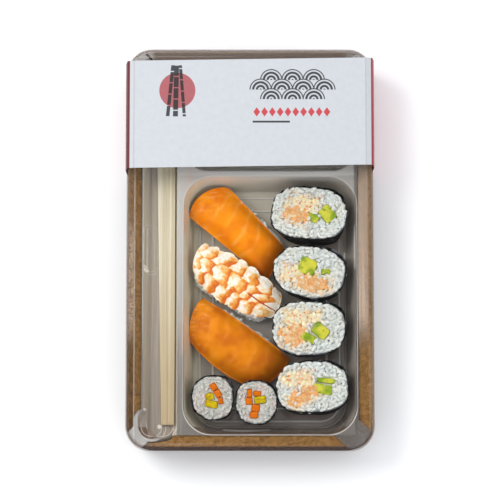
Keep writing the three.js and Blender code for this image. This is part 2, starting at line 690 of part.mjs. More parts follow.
const ROLLS = [
  {
    ...THICK, name: "thick_roll_1", seed: 11, x: 33.4, y: 20.6, width: 43.2, height: 29.4, turn: -5,
    leanX: -0.08, leanY: -0.08, footX: 0.9,
    fills: [
      avocado("a", 10.5, 0.4, 8.8, 6.7, -46),
      avocado("b", 2.6, -2.2, 6, 3.8, -30),
      fish(-7.1, -0.8, 12.4, 9, -8),
      crab(-3.2, 6, 14, 5.6, -8),
    ],
  },
  {
    ...THICK, name: "thick_roll_2", seed: 12, x: 33.9, y: -12.7, width: 41.2, height: 29, turn: -10,
    leanX: -0.06, leanY: -0.03, squareness: 2.3, footY: 0.94,
    fills: [
      avocado("a", -1.9, 2.8, 9.2, 8.6, -12),
      avocado("b", 8.8, 1.6, 4.2, 2.4, 10),
      fish(2.6, -5.9, 18, 7.4, -8),
      crab(-10, -2.6, 9, 7.4, 0),
    ],
  },
  {
    ...THICK, name: "thick_roll_3", seed: 13, x: 33.2, y: -44.7, width: 40.6, height: 30.4, turn: -2,
    leanX: -0.05, leanY: 0, footY: 0.95,
    fills: [
      avocado("a", 6.6, -1.4, 8.6, 6.2, -38),
      avocado("b", 0.2, -5.4, 8.4, 4, -24),
      fish(-8.8, -4.2, 12, 10.4, 0),
      crab(-4.4, 6, 19, 6.4, 0),
    ],
  },
  {
    ...THICK, name: "thick_roll_4", seed: 14, x: 35.2, y: -78, width: 39.6, height: 29.4, turn: 1,
    leanX: -0.05, leanY: -0.03,
    fills: [
      avocado("a", 5.4, -1.2, 10, 5, -12),
      avocado("b", 7.6, 3.6, 9.4, 2.2, -8),
      fish(-5.4, -4.6, 15, 7, 32),
      crab(-8.6, 4.6, 14, 6, -4),
    ],
  },
  {
    ...THIN, name: "thin_roll_1", seed: 15, x: -20.9, y: -84, width: 23.2, height: 25, turn: 0,
    leanX: -0.05, leanY: 0.17,
    fills: [
      carrot("a", 0.4, 6.2, 3.4, 3, -60),
      carrot("b", 2.8, 2.4, 3.8, 3, -60),
      carrot("c", 4.4, -1.7, 3.1, 2, -84),
      radish("a", -1.9, 0.7, 4, 3.4, 20),
      radish("b", -0.9, -3.5, 6.4, 3.4, -12),
    ],
  },
  {
    ...THIN, name: "thin_roll_2", seed: 16, x: 3.4, y: -86.4, width: 23.2, height: 24.4, turn: 0,
    leanX: 0, leanY: 0.1,
    fills: [
      carrot("a", -3.7, 5.2, 2.3, 4, 0),
      carrot("b", 0.6, 5, 3.8, 2.3, -5),
      carrot("c", -3.9, 0.7, 3.2, 3.5, 4),
      carrot("d", -0.2, -3.2, 3.9, 3.6, -5),
      carrot("e", -1.1, -7.1, 4, 3.1, 0),
      radish("a", 2.3, 1.4, 6, 3.6, 6),
    ],
  },
];

const SALMON = {
  sliceName: "salmon", material: salmonOrange, relief: salmonRelief, stepsAlong: 10, stepsAcross: 6,
};

const TOPPINGS = [
  {
    ...SALMON, name: "salmon_nigiri_1", seed: 21, thickness: 3.6,
    corners: [[-35, 20.6], [-12.6, 38], [20.4, 2.6], [10, -16]],
    startBow: 5.4, endBow: 0, farBow: 0, nearBow: 0, rounding: 0.05,
    top: 23.5, sideDrop: 8, startDrop: 6, endDrop: 11,
    riceWidth: 20, riceHeight: 19, riceInset: 4, riceShift: 3, grains: 12,
  },
  {
    name: "prawn_nigiri", sliceName: "prawn", material: prawnPeach, relief: prawnRelief, seed: 22,
    stepsAlong: 18, stepsAcross: 8, segments: 6, thickness: 2.4,
    corners: [[-32.4, -12], [-27.3, 4], [17.8, -26.2], [13, -37.4]],
    startBow: 2, endBow: 1, farBow: 3.8, nearBow: 6.2, rounding: 0.03,
    top: 24, sideDrop: 5.5, startDrop: 4, endDrop: 7,
    riceWidth: 19, riceHeight: 20, riceInset: 3, riceShift: -4, grains: 13,
  },
  {
    ...SALMON, name: "salmon_nigiri_2", seed: 23, thickness: 3.6,
    corners: [[-33.2, -51], [-26.6, -25.4], [21, -61], [-5, -74.4]],
    startBow: 3.4, endBow: 2.4, farBow: 0.6, nearBow: 0.4, rounding: 0.1,
    top: 21.5, sideDrop: 8.5, startDrop: 6, endDrop: 11,
    riceWidth: 20, riceHeight: 18, riceInset: 5, riceShift: 3.4, grains: 12,
  },
];

// ---------------------------------------------------------------- assembly

const kraft = finish(0xa47a4c, 0.85);
const clearGrey = finish(0xb4b2ad, 0.2);
const clearFilm = finish(0xeef2f3, 0.1);
const whiteCard = finish(0xe6e9ea, 0.6);
const bamboo = finish(0xdccfa4, 0.7);

const rollRooms = wasm.Manifold.union(ROLLS.map(rollRoom));
const tray = new THREE.Group();
tray.add(piece("carton", cartonWall().add(cartonFlaps()).subtract(stickWellRoom()), kraft));
tray.add(piece("insert_tray", insertTray(), clearGrey));
tray.add(piece("lid", clearLid(), clearFilm));
tray.add(piece("sleeve", cardSleeve(), whiteCard));
tray.add(piece("chopsticks", chopsticks(), bamboo));
TOPPINGS.forEach((topping) => tray.add(makeNigiri(topping, rollRooms)));
ROLLS.forEach((roll) => tray.add(makeRoll(roll)));

export default tray;
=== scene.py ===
import math
import random
from functools import partial

import bmesh
import bpy
from mathutils import Matrix, Vector, noise
from mathutils.bvhtree import BVHTree


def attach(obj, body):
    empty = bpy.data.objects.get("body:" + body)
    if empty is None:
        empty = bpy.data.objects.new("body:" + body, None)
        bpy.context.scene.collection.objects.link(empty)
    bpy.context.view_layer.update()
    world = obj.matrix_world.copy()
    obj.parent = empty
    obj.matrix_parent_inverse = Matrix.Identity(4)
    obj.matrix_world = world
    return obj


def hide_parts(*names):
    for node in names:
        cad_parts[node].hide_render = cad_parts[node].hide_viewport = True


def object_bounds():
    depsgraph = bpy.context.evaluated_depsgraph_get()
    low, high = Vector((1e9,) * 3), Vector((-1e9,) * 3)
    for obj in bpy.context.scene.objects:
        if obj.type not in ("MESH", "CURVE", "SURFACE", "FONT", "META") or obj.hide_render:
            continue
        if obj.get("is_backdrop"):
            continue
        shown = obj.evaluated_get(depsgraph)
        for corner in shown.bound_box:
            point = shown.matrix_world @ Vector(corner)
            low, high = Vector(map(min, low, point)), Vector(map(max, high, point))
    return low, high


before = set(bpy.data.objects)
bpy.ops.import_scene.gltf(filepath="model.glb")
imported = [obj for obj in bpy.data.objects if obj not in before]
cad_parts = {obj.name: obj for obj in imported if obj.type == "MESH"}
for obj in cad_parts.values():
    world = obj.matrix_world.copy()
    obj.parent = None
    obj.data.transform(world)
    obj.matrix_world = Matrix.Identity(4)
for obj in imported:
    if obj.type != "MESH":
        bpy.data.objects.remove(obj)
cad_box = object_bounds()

# ---------------------------------------------------------------- camera and studio
# A long lens looks down on the shut tray from its near end, tilted a little off straight down. One
# large soft lamp hangs on the far left, a weaker one stands to the right, two small ones give glints,
# and a pale even room fills in.
VIEW_TILT = math.radians(8)
CAMERA_AWAY = 1.5
FRAME_WIDTH = 0.284
AIM = Vector((0, 0.0006, 0.020))

lens = bpy.data.cameras.new("camera")
lens.sensor_width = 36
lens.lens = lens.sensor_width * CAMERA_AWAY / FRAME_WIDTH
camera = bpy.data.objects.new("camera", lens)
camera.location = AIM + CAMERA_AWAY * Vector((0, -math.sin(VIEW_TILT), math.cos(VIEW_TILT)))
camera.rotation_euler = (VIEW_TILT, 0, 0)
bpy.context.scene.collection.objects.link(camera)
bpy.context.scene.camera = camera
bpy.context.scene.view_settings.view_transform = "Standard"


def soft_lamp(name, place, size, power, tint):
    """A square area lamp that faces the tray."""
    light = bpy.data.lights.new(name, "AREA")
    light.size = size
    light.energy = power
    light.color = tint
    lamp = bpy.data.objects.new(name, light)
    lamp.location = place
    lamp.rotation_euler = (AIM - Vector(place)).to_track_quat("-Z", "Y").to_euler()
    bpy.context.scene.collection.objects.link(lamp)


soft_lamp("far_left_lamp", (-0.7, 0.35, 1.15), 0.6, 7.5, (1.0, 0.985, 0.96))
soft_lamp("right_lamp", (1.0, -0.1, 0.7), 0.5, 1.5, (0.96, 0.98, 1.0))
# Two small lamps give the clear plastic its sharp glints.
soft_lamp("far_glint_lamp", (-0.01, 1.1, 0.95), 0.07, 0.7, (1.0, 1.0, 1.0))
soft_lamp("left_glint_lamp", (-1.1, 0.08, 0.95), 0.07, 0.7, (1.0, 1.0, 1.0))

room = bpy.data.worlds.new("room")
room.use_nodes = True
room.node_tree.nodes["Background"].inputs["Color"].default_value = (0.95, 0.97, 1.0, 1)
room.node_tree.nodes["Background"].inputs["Strength"].default_value = 0.98
bpy.context.scene.world = room

# ---------------------------------------------------------------- table
# A plain matt white table top, one flat sheet far wider than the tray. Sizes are in millimetres from
# here on, and every mesh is brought to metres as it is finished.
MM = 0.001
TABLE_HALF = 1500


class Tone:
    """An output in a finish's node tree. Sums on it add Math nodes."""

    def __init__(self, tree, output=None):
        self.tree = tree
        self.output = output

    def node(self, kind, settings=(), sockets=(), output=0):
        """Any node, with its settings, and the values or tones of its sockets."""
        new = self.tree.nodes.new(kind)
        for name, setting in dict(settings).items():
            if name == "stops":
                ends = new.color_ramp.elements
                for stop, end in ((setting[0], ends[0]), (setting[-1], ends[-1])):
                    end.position, end.color = stop
                for place, colour in setting[1:-1]:
                    ends.new(place).color = colour
            else:
                setattr(new, name, setting)
        for name, value in dict(sockets).items():
            if isinstance(value, Tone):
                self.tree.links.new(value.output, new.inputs[name])
            else:
                new.inputs[name].default_value = value
        return Tone(self.tree, new.outputs[output] if new.outputs else None)

    def sum(self, operation, *terms):
        return self.node("ShaderNodeMath", {"operation": operation}, enumerate(terms))

    def __add__(self, other):
        return self.sum("ADD", self, other)

    def __radd__(self, other):
        return self.sum("ADD", other, self)

    def __sub__(self, other):
        return self.sum("SUBTRACT", self, other)

    def __rsub__(self, other):
        return self.sum("SUBTRACT", other, self)

    def __mul__(self, other):
        return self.sum("MULTIPLY", self, other)

    def __rmul__(self, other):
        return self.sum("MULTIPLY", other, self)

    def __pow__(self, other):
        return self.sum("POWER", self, other)

    def __abs__(self):
        return self.sum("ABSOLUTE", self)

    def step(self, low, high):
        """0 up to low and 1 from high on, and smooth between."""
        places = {"Value": self, "From Min": low, "From Max": high}
        return self.node("ShaderNodeMapRange", {"interpolation_type": "SMOOTHSTEP"}, places)

    def off_middle(self):
        """0 in the middle of each whole step of this value, and 0.5 at the step's ends."""
        return abs(self.sum("FRACT", self) - 0.5)

    def blend(self, under, over, kind="MIX"):
        """Two colours mixed by this share of the second. Each is a tone, or its three numbers."""
        under, over = (paint(*side) if isinstance(side, tuple) else side for side in (under, over))
        settings = {"data_type": "RGBA", "blend_type": kind, "clamp_factor": True}
        return self.node("ShaderNodeMix", settings, {0: self, 6: under, 7: over}, output=2)

    def axes(self):
        split = self.node("ShaderNodeSeparateXYZ", (), {0: self}).output.node
        return [Tone(self.tree, output) for output in split.outputs]

    def moved(self, shift=(0, 0, 0), turn=(0, 0, 0), stretch=(1, 1, 1)):
        sockets = {"Vector": self, "Location": shift, "Rotation": turn, "Scale": stretch}
        return self.node("ShaderNodeMapping", (), sockets)

    def grain(self, size, detail=2.0, rough=0.5, twist=0.0):
        """Noise from 0 to 1 with lumps about this many millimetres wide."""
        sockets = {"Vector": self, "Scale": 1 / size, "Detail": detail, "Roughness": rough}
        return self.node("ShaderNodeTexNoise", (), {**sockets, "Distortion": twist})

    def bump(self, depth):
        """A normal for this height, with its depth in millimetres."""
        sockets = {"Height": self, "Distance": depth * MM, "Strength": 1.0}
        return self.node("ShaderNodeBump", (), sockets)


def paint(red, green, blue):
    """A colour from its usual 0 to 255 numbers."""
    def linear(c):
        c /= 255
        return c / 12.92 if c <= 0.04045 else ((c + 0.055) / 1.055) ** 2.4
    return (linear(red), linear(green), linear(blue), 1.0)


def layered(tint, *layers):
    """A tint under other colours. Each layer is a mask and its colour's three numbers."""
    for mask, *colour in layers:
        tint = mask.blend(tint, tuple(colour))
    return tint


def new_finish(name):
    """A new material, and the place on the piece in millimetres as its first tone."""
    material = bpy.data.materials.new(name)
    material.use_nodes = True
    material.node_tree.nodes.clear()
    start = Tone(material.node_tree)
    place = start.node("ShaderNodeTexCoord", output="Object")
    to_mm = {0: place, "Scale": 1 / MM}
    return material, start.node("ShaderNodeVectorMath", {"operation": "SCALE"}, to_mm)


def coat(place, **sockets):
    """Closes a finish with one Principled surface. Underscores in the names stand for spaces."""
    named = {name.replace("_", " "): value for name, value in sockets.items()}
    shader = place.node("ShaderNodeBsdfPrincipled", (), named)
    place.node("ShaderNodeOutputMaterial", (), {"Surface": shader})


def made(bm, name, *finishes, smooth=30, stand=None):
    """Turns a mesh in millimetres into a piece in metres, smooth but for edges past an angle. The
    mesh is first moved to its stand, where it has one."""
    if stand:
        bmesh.ops.transform(bm, matrix=stand, verts=bm.verts)
    bmesh.ops.scale(bm, vec=(MM, MM, MM), verts=bm.verts)
    mesh = bpy.data.meshes.new(name)
    bm.to_mesh(mesh)
    bm.free()
    for finish in finishes:
        mesh.materials.append(finish)
    mesh.polygons.foreach_set("use_smooth", [smooth > 0] * len(mesh.polygons))
    if smooth:
        mesh.set_sharp_from_angle(angle=math.radians(smooth))
    piece = bpy.data.objects.new(name, mesh)
    bpy.context.scene.collection.objects.link(piece)
    return piece


def dress(piece, finish):
    """Gives a piece this finish in place of any that it has."""
    piece.data.materials.clear()
    piece.data.materials.append(finish)


table_white, place = new_finish("matt_white_table")
speckle = place.grain(0.6).step(0.3, 0.7)
coat(place, Base_Color=speckle.blend((250, 250, 251), (252, 252, 252)), Roughness=0.9)

bm = bmesh.new()
bmesh.ops.create_grid(bm, x_segments=1, y_segments=1, size=TABLE_HALF)
table = made(bm, "table", table_white, smooth=0)
table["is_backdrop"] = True

# ---------------------------------------------------------------- clear insert
# One sheet of smoke-grey clear plastic, drawn hot into a mould. It has a flat ledge with a large well,
# a sauce well and a long channel, two ribs on the large well's floor, and a flange that lies on the
# carton's rim.
FILM = 0.6
LEDGE = 26
RIM = 30
CARTON_HALF_X = 69.1
CARTON_HALF_Y = 113.2
CORNER_RADIUS = 13
CORNER_STEPS = 9
FLANGE = 3.0
FLANGE_SHIFT = 1.1
RIM_GAP = 0.3
LEDGE_HALF_X = 60.6
LEDGE_HALF_Y = 105.2
FLAP_REACH_X = 61.2
FLAP_REACH_Y = 104.8
MOUTH_ROUND = 0.9
FOOT_RISE = 1.6
FLOOR_LEAN = 1.25
WELL_REACH = 2.5
ROUND_STEPS = 4
RIB_HEIGHT = 0.8
RIB_WIDTH = 1.6
RIB_INSETS = (1.6, 9)
RIB_RADIUS = 12

# Each well's middle, half sizes and corner radius at the ledge, its floor height, the lean of its
# walls along X and Y, and how far its floor lies to the right of its mouth.
MAIN_WELL = (11.3, -31.3, 48.5, 72.9, 16, 2, 5, 5, 0)
SAUCE_WELL = (11.3, 74.8, 48.5, 29.3, 13, 6, 4.5, 4.5, 0)
STICK_WELL = (-50.8, -0.4, 9.4, 106.5, 8, 14, 2.4, 1.5, 1.3)
GRIP_NOTCH = (-56.4, 1.2, 3.4, 13.7, 3, 18.5, 0.4, 1, 0.2)
END_NOTCH = (-55.6, -98.6, 7.6, 8.4, 7.2, 20, 1, 1, 0.6)


def rounded_sheet(bm, half_x, half_y, radius, z, x=0, y=0):
    """One flat face, a rectangle with its corners rounded off."""
    corners = bmesh.ops.create_grid(bm, x_segments=1, y_segments=1, size=1)["verts"]
    bmesh.ops.scale(bm, vec=(half_x, half_y, 1), verts=corners)
    bmesh.ops.translate(bm, vec=(x, y, z), verts=corners)
    before = set(bm.verts) - set(corners)
    bmesh.ops.bevel(
        bm, geom=corners, offset=radius, segments=CORNER_STEPS, profile=0.5,
        affect="VERTICES", material=-1,
    )
    return next(v for v in bm.verts if v not in before).link_faces[0]


def loft(rings):
    """A closed skin through rounded rectangles, lowest first."""
    bm = bmesh.new()
    sheets = [rounded_sheet(bm, *ring) for ring in rings]
    for lower, upper in zip(sheets, sheets[1:]):
        bmesh.ops.bridge_loops(bm, edges=list(lower.edges) + list(upper.edges))
    bmesh.ops.delete(bm, geom=sheets[1:-1], context="FACES_ONLY")
    bmesh.ops.recalc_face_normals(bm, faces=bm.faces)
    return bm


def settle(piece, weigh=False):
    """Applies a piece's modifiers for good."""
    if weigh:
        weighted = piece.modifiers.new("even_flats", "WEIGHTED_NORMAL")
        weighted.keep_sharp = True
    depsgraph = bpy.context.evaluated_depsgraph_get()
    depsgraph.update()
    mesh = bpy.data.meshes.new_from_object(piece.evaluated_get(depsgraph))
    piece.modifiers.clear()
    piece.data = mesh


def work(piece, operation, *tools):
    """Joins tools to a piece, or cuts them out of it, and uses them up."""
    for tool in tools:
        step = piece.modifiers.new("step", "BOOLEAN")
        step.operation = operation
        step.solver = "MANIFOLD"
        step.object = tool
        settle(piece)
        bpy.data.objects.remove(tool)


def crisp(piece, angle):
    """Smooth shading but for edges past an angle, with flats kept even."""
    piece.data.polygons.foreach_set("use_smooth", [True] * len(piece.data.polygons))
    piece.data.set_sharp_from_angle(angle=math.radians(angle))
    settle(piece, weigh=True)


def well_skin(well, grow):
    """The space in a well and above it, grown by the sheet's thickness for its outside."""
    x, y, half_x, half_y, radius, floor, lean_x, lean_y, shift = well

    def ring(inset, z):
        return (
            half_x - inset * lean_x + grow,
            half_y - inset * lean_y + grow,
            radius - inset * min(lean_x, 1.5) + grow,
            z - grow,
            x + inset * shift,
            y,
        )

    depth = LEDGE - floor
    foot_start = 1 - FOOT_RISE / depth
    rings = []
    for i in range(ROUND_STEPS + 1):
        t = i / ROUND_STEPS
        inset = (1 - t) ** 2 * FLOOR_LEAN + 2 * t * (1 - t) + t * t * foot_start
        rings.append(ring(inset, floor + FOOT_RISE * t * t))
    for i in range(ROUND_STEPS + 1):
        angle = math.pi / 2 * i / ROUND_STEPS
        wide = MOUTH_ROUND * (1 - math.cos(angle))
        rings.append((
            half_x + wide + grow, half_y + wide + grow, radius + wide + grow,
            LEDGE - MOUTH_ROUND * (1 - math.sin(angle)) - grow, x, y,
        ))
    last = rings[-1]
    rings.append((*last[:3], LEDGE + WELL_REACH, x, y))
    return made(loft(rings), "well")


def floor_rib(inset):
    """One rounded ridge that runs round the large well's floor."""
    x, y, half_x, half_y = MAIN_WELL[:4]
    floor, lean_x, lean_y = MAIN_WELL[5:8]

    def band(grow, z):
        along = half_x - lean_x * FLOOR_LEAN - inset + grow
        across = half_y - lean_y * FLOOR_LEAN - inset + grow
        return (along, across, RIB_RADIUS + grow, z, x, y)

    low = floor - FILM / 2
    shoulder = floor + RIB_HEIGHT * 0.7
    high = floor + RIB_HEIGHT
    outer = [band(0, low), band(-0.15 * RIB_WIDTH, shoulder), band(-0.35 * RIB_WIDTH, high)]
    inner = [band(-RIB_WIDTH, low - 1), band(-RIB_WIDTH, low), band(-0.85 * RIB_WIDTH, shoulder)]
    inner += [band(-0.65 * RIB_WIDTH, high), band(-0.65 * RIB_WIDTH, high + 1)]
    rib = made(loft(outer), "rib")
    work(rib, "DIFFERENCE", made(loft(inner), "rib_inside"))
    return rib


FLANGE_FOOT = RIM + RIM_GAP
rim_out = (CARTON_HALF_X - 0.3, CARTON_HALF_Y - 0.3, CORNER_RADIUS)
rim_in = (CARTON_HALF_X - FLANGE, CARTON_HALF_Y - FLANGE, CORNER_RADIUS - FLANGE / 2)
ledge_foot = (LEDGE_HALF_X, LEDGE_HALF_Y, 6)


def rim_ring(z):
    """The flange's inner edge, which lies a little to the right."""
    return (*rim_in, z, FLANGE_SHIFT)


insert = made(
    loft([(*ledge_foot, LEDGE - FILM), rim_ring(FLANGE_FOOT), rim_ring(FLANGE_FOOT + FILM)]),
    "insert_sheet",
)
wells = (MAIN_WELL, SAUCE_WELL, STICK_WELL, GRIP_NOTCH, END_NOTCH)
flange = made(loft([(*rim_out, FLANGE_FOOT), (*rim_out, FLANGE_FOOT + FILM)]), "flange")
work(insert, "UNION", flange, *(well_skin(well, FILM) for well in wells))
hollow = [(*ledge_foot, LEDGE), rim_ring(FLANGE_FOOT + FILM), rim_ring(RIM + 5)]
work(insert, "DIFFERENCE", made(loft(hollow), "hollow"), *(well_skin(well, 0) for well in wells))
work(insert, "UNION", *(floor_rib(inset) for inset in RIB_INSETS))
crisp(insert, 35)

smoke_plastic, place = new_finish("smoke_grey_clear_plastic")
x, y, z = place.axes()
# Painted light: the sheet is painted paler towards the far left and darker towards the near right, as
# the light falls.
light_falloff = (x * 0.004 - y * 0.006 + place.grain(60) * 0.3).step(-0.5, 0.75)
# Painted shade darkens the ledge towards the near end and along its right side, and painted light
# lightens it by the sleeve's near edge, against the sleeve's shadow.
ledge_tint = layered(
    light_falloff.blend((214, 212, 208), (150, 144, 137)),
    (y.step(-35, -65) * 0.5, 100, 95, 89),
    (y.step(41.5, 43.5) * 0.6, 250, 249, 246),
    (x.step(58.6, 59.4) * 0.8, 104, 98, 94),
)
# In the wells the same painted light falls from far left to near right. Painted light also lightens the
# large well's left part, as if lit through its wall, and the sauce well's far end, against the sleeve's
# shadow. The channel is a little darker.
beside_left_wall = x.step(-24, -34) * x.step(-40.5, -40)
well_tint = layered(
    light_falloff.blend((255, 248, 228), (158, 147, 138)),
    (beside_left_wall * 0.9, 255, 246, 216),
    (y.step(38, 43) * 0.9, 255, 252, 246),
    (x.step(-40, -40.5) * 0.6, 194, 180, 164),
)
# Painted reflection: the salmon is mirrored in the large well's left wall, streaked by pale vertical
# lines that also run in the channel. Painted light lightens the right wall and the wall beside the
# chopsticks, and a painted highlight runs along the ribs. The near wall's top shows the board
# behind it.
drawn = place.moved(stretch=(1, 0.02, 1)).grain(0.8).step(0.4, 0.75)
left_wall = x.step(-30, -34) * x.step(-40, -38) * z.step(2, 6)
mirrored = left_wall * place.grain(16).step(0.36, 0.6) * (0.12 + drawn * 0.28) * y.step(-80, -60)
right_wall = x.step(53, 57) * z.step(2.6, 6) * z.step(25, 24)
near_wall_top = y.step(-99.6, -100.4) * z.step(16, 20) * z.step(25.3, 24.9)
beside_sticks = x.step(-43.8, -43.2) * x.step(-40.9, -41.3) * z.step(26.2, 25.6)
rib_highlight = z.step(2.4, 2.65) * z.step(3.1, 2.9)
tint = layered(
    z.step(24, 26).blend(well_tint, ledge_tint),
    (mirrored, 246, 180, 136),
    (right_wall * 0.8, 206, 196, 184),
    (near_wall_top * 0.8, 120, 82, 44),
    (beside_sticks * 0.9, 255, 246, 226),
    (drawn * 0.4 * x.step(-36, -44), 240, 234, 226),
    (rib_highlight * 0.85, 250, 247, 240),
)


def line_at(value, at, half):
    """1 within half a line's width of a value."""
    return abs(value - at).step(half + 0.12, half)


def larger(first, *others):
    """The largest of several tones."""
    for other in others:
        first = first.sum("MAXIMUM", first, other)
    return first


def disc(x, y, at_x, at_y, radius, soft=0.12):
    """1 inside a circle and 0 outside it, and the distance from its middle."""
    away = ((x - at_x) * (x - at_x) + (y - at_y) * (y - at_y)) ** 0.5
    return away.step(radius + soft, radius - soft), away


def round_away(from_x, from_y, half_x, half_y, radius):
    """How far a place lies out from a rounded rectangle's corner centres: the radius at its edge."""
    out_x = larger(from_x - (half_x - radius), 0.0)
    out_y = larger(from_y - (half_y - radius), 0.0)
    return (out_x * out_x + out_y * out_y) ** 0.5


def from_well(well):
    """How far a place lies out from a well's edge at the ledge, in plan."""
    mid_x, mid_y, half_x, half_y, radius = well[:5]
    return round_away(abs(x - mid_x), abs(y - mid_y), half_x, half_y, radius) - radius


def round_well(well, out, half):
    """A line round a well, this far out from its edge."""
    return line_at(from_well(well), out, half)


# Painted highlights: a pale line runs along the large well's mouth, clearest on the near side, and
# others follow the rounds of the long channel's notch and of its near end.
mouth = round_well(MAIN_WELL, 0.75, 0.16) * z.step(25, 25.4) * (0.3 + 0.45 * y.step(-86, -98))
near_end = larger(round_well(END_NOTCH, 0.5, 0.2), round_well(END_NOTCH, -1.9, 0.15))
near_end = larger(near_end, round_well(STICK_WELL, -2, 0.15)) * y.step(-95, -100)
grip = larger(round_well(GRIP_NOTCH, 0.4, 0.15), round_well(GRIP_NOTCH, -1.3, 0.12))
rounds = larger(near_end, grip * x.step(-52, -53) * 0.7) * place.grain(4).step(0.3, 0.5)
# Soft gleams lie on the large well's near and right walls and on its right foot, and small sparks in
# the channel: each one's place and radius.
SPARKS = ((-58.8, -11, 1.3), (-59.4, -9, 0.7), (-59.2, -90.2, 0.7), (-51.2, -99.4, 1.2))
gleams = larger(
    line_at(y - (x + 2) * (x + 2) * 0.004, -101.6, 0.7) * abs(x + 2).step(15, 12),
    line_at(x, 59.3, 0.35) * abs(y - 2).step(14, 11),
    line_at(x, 54.2, 0.25) * abs(y + 2).step(5, 3),
    *(disc(x, y, *spark, 0.5)[0] * place.grain(1.1).step(0.3, 0.42) for spark in SPARKS),
)
# Past the ledge the sheet is all but clear over the board, with a painted highlight along its upper
# bend and a painted sheen on its sides. It is painted grey where a corner of the board is open, and
# just outside the channel's near end: lighter at the near left and darker at the near right, as
# painted light and shade, and near white at the far corners, as a painted highlight.
past_x, past_y = abs(x), abs(y)
clear = larger(past_x.step(60.7, 61), past_y.step(104.9, 105.2)) * z.step(25, 25.4)
bend_x = line_at(abs(x - FLANGE_SHIFT), CARTON_HALF_X - FLANGE, 0.35) * (0.5 + 0.5 * x.step(10, -10))
bend_y = line_at(past_y, CARTON_HALF_Y - FLANGE, 0.3) * x.step(20, -50) * 0.6
bend = larger(bend_x, bend_y) * z.step(30, 30.3)
streaks = place.moved(stretch=(1, 0.03, 1)).grain(2.2).step(0.35, 0.7)
right_sheen = x.step(60.9, 61.4) * x.step(67.2, 66.2) * y.step(-64, -34) * (0.75 + streaks * 0.3)
left_sheen = x.step(-65.2, -65.8) * y.step(-62, -36) * (0.12 + y.step(22, 2) * 0.88)
left_sheen = left_sheen * (0.15 + place.grain(1.2, detail=3).step(0.42, 0.56) * 0.75)
painted_sheen = larger(right_sheen, left_sheen)
diagonal = past_x - past_y + (FLAP_REACH_Y - FLAP_REACH_X)
wider = x.step(10, 20) * y.step(-10, -20) * 3
corner = (abs(diagonal + wider) - wider).step(9, 7.5) * past_y.step(94, 97)
from_end = from_well(END_NOTCH)
collar = from_end.step(-0.8, -0.2) * from_end.step(2.3, 1.4)
corner = larger(corner, collar * y.step(-88, -93))
near_corners = x.step(-10, 10).blend((222, 221, 218), (128, 122, 116))
far_corners = x.step(-10, 10).blend((238, 239, 236), (206, 208, 208))
tint = layered(
    tint,
    (larger(mouth, rounds * 0.85, gleams), 255, 250, 242),
    (bend * 0.9, 246, 236, 220),
    (clear * painted_sheen, 246, 226, 206),
)
tint = (corner * clear).blend(tint, y.step(-10, 10).blend(near_corners, far_corners))
see_through = 0.7 - corner * 0.5 - bend * 0.22 - painted_sheen * 0.3
coat(
    place,
    Base_Color=tint,
    Roughness=0.05 + place.grain(9) * 0.06,
    IOR=1.5,
    Alpha=0.72 - clear * see_through + gleams * 0.2,
    Normal=place.grain(14, detail=1).bump(0.25),
)
dress(insert, smoke_plastic)
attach(insert, "root")
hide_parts("insert_tray")

# ---------------------------------------------------------------- kraft carton
# A collar of brown kraft board, one wall folded round with four flaps that are folded inwards and
# down. The flaps are mitred at the corners, with an open gap at each, and the fold along their rim
# is paler.
BOARD = 0.6
CARTON_BASE = 0.75
CARTON_FLARE = 1.2
FLAP_DROP = 5.6
CUT_REACH = 34
CUT_INSET = 6

# Each open corner: its direction, the width of its gap, and how far the gap is moved along X.
OPEN_CORNERS = ((1, -1, 10.4, -5), (-1, -1, 12.5, 0), (1, 1, 9, -1), (-1, 1, 11, 2.5))

foot_x = CARTON_HALF_X - CARTON_FLARE
foot_y = CARTON_HALF_Y - CARTON_FLARE
carton = made(
    loft([
        (foot_x, foot_y, CORNER_RADIUS, CARTON_BASE),
        (CARTON_HALF_X, CARTON_HALF_Y, CORNER_RADIUS, RIM),
    ]),
    "carton_collar",
)
inner_radius = CORNER_RADIUS - BOARD
work(carton, "DIFFERENCE", made(
    loft([
        (foot_x - BOARD, foot_y - BOARD, inner_radius, CARTON_BASE - 1),
        (CARTON_HALF_X - BOARD, CARTON_HALF_Y - BOARD, inner_radius, RIM + 1),
    ]),
    "collar_inside",
))


def flap_ring(z, free):
    """The flaps' free edge, or the fold along the rim."""
    if free:
        return (FLAP_REACH_X, FLAP_REACH_Y, 4, z)
    return (CARTON_HALF_X - 0.2, CARTON_HALF_Y - 0.2, CORNER_RADIUS, z)


low_edge = RIM - FLAP_DROP
flaps = made(
    loft([flap_ring(low_edge - BOARD, True), flap_ring(RIM - BOARD, False), flap_ring(RIM, False)]),
    "flaps",
)
above = [flap_ring(low_edge, True), flap_ring(RIM, False), flap_ring(RIM + 1, False)]
opening = [flap_ring(RIM - 2 * FLAP_DROP, True), flap_ring(RIM + 1, True)]
work(flaps, "DIFFERENCE", made(loft(above), "above"), made(loft(opening), "opening"))
for side_x, side_y, width, shift in OPEN_CORNERS:
    bm = bmesh.new()
    bmesh.ops.create_cube(bm, size=1)
    bmesh.ops.scale(bm, vec=(CUT_REACH, width, 3 * FLAP_DROP), verts=bm.verts)
    turn = Matrix.Rotation(side_x * side_y * math.pi / 4, 3, "Z")
    bmesh.ops.rotate(bm, cent=(0, 0, 0), matrix=turn, verts=bm.verts)
    middle = CUT_REACH / 2 / math.sqrt(2)
    spot = (
        side_x * (FLAP_REACH_X - CUT_INSET + middle) + shift,
        side_y * (FLAP_REACH_Y - CUT_INSET + middle),
        RIM - FLAP_DROP / 2,
    )
    bmesh.ops.translate(bm, vec=spot, verts=bm.verts)
    work(flaps, "DIFFERENCE", made(bm, "corner_gap"))
work(carton, "UNION", flaps)
room_for_channel = [well_skin(well, FILM + RIM_GAP) for well in (STICK_WELL, END_NOTCH)]
work(carton, "DIFFERENCE", *room_for_channel)
crisp(carton, 30)

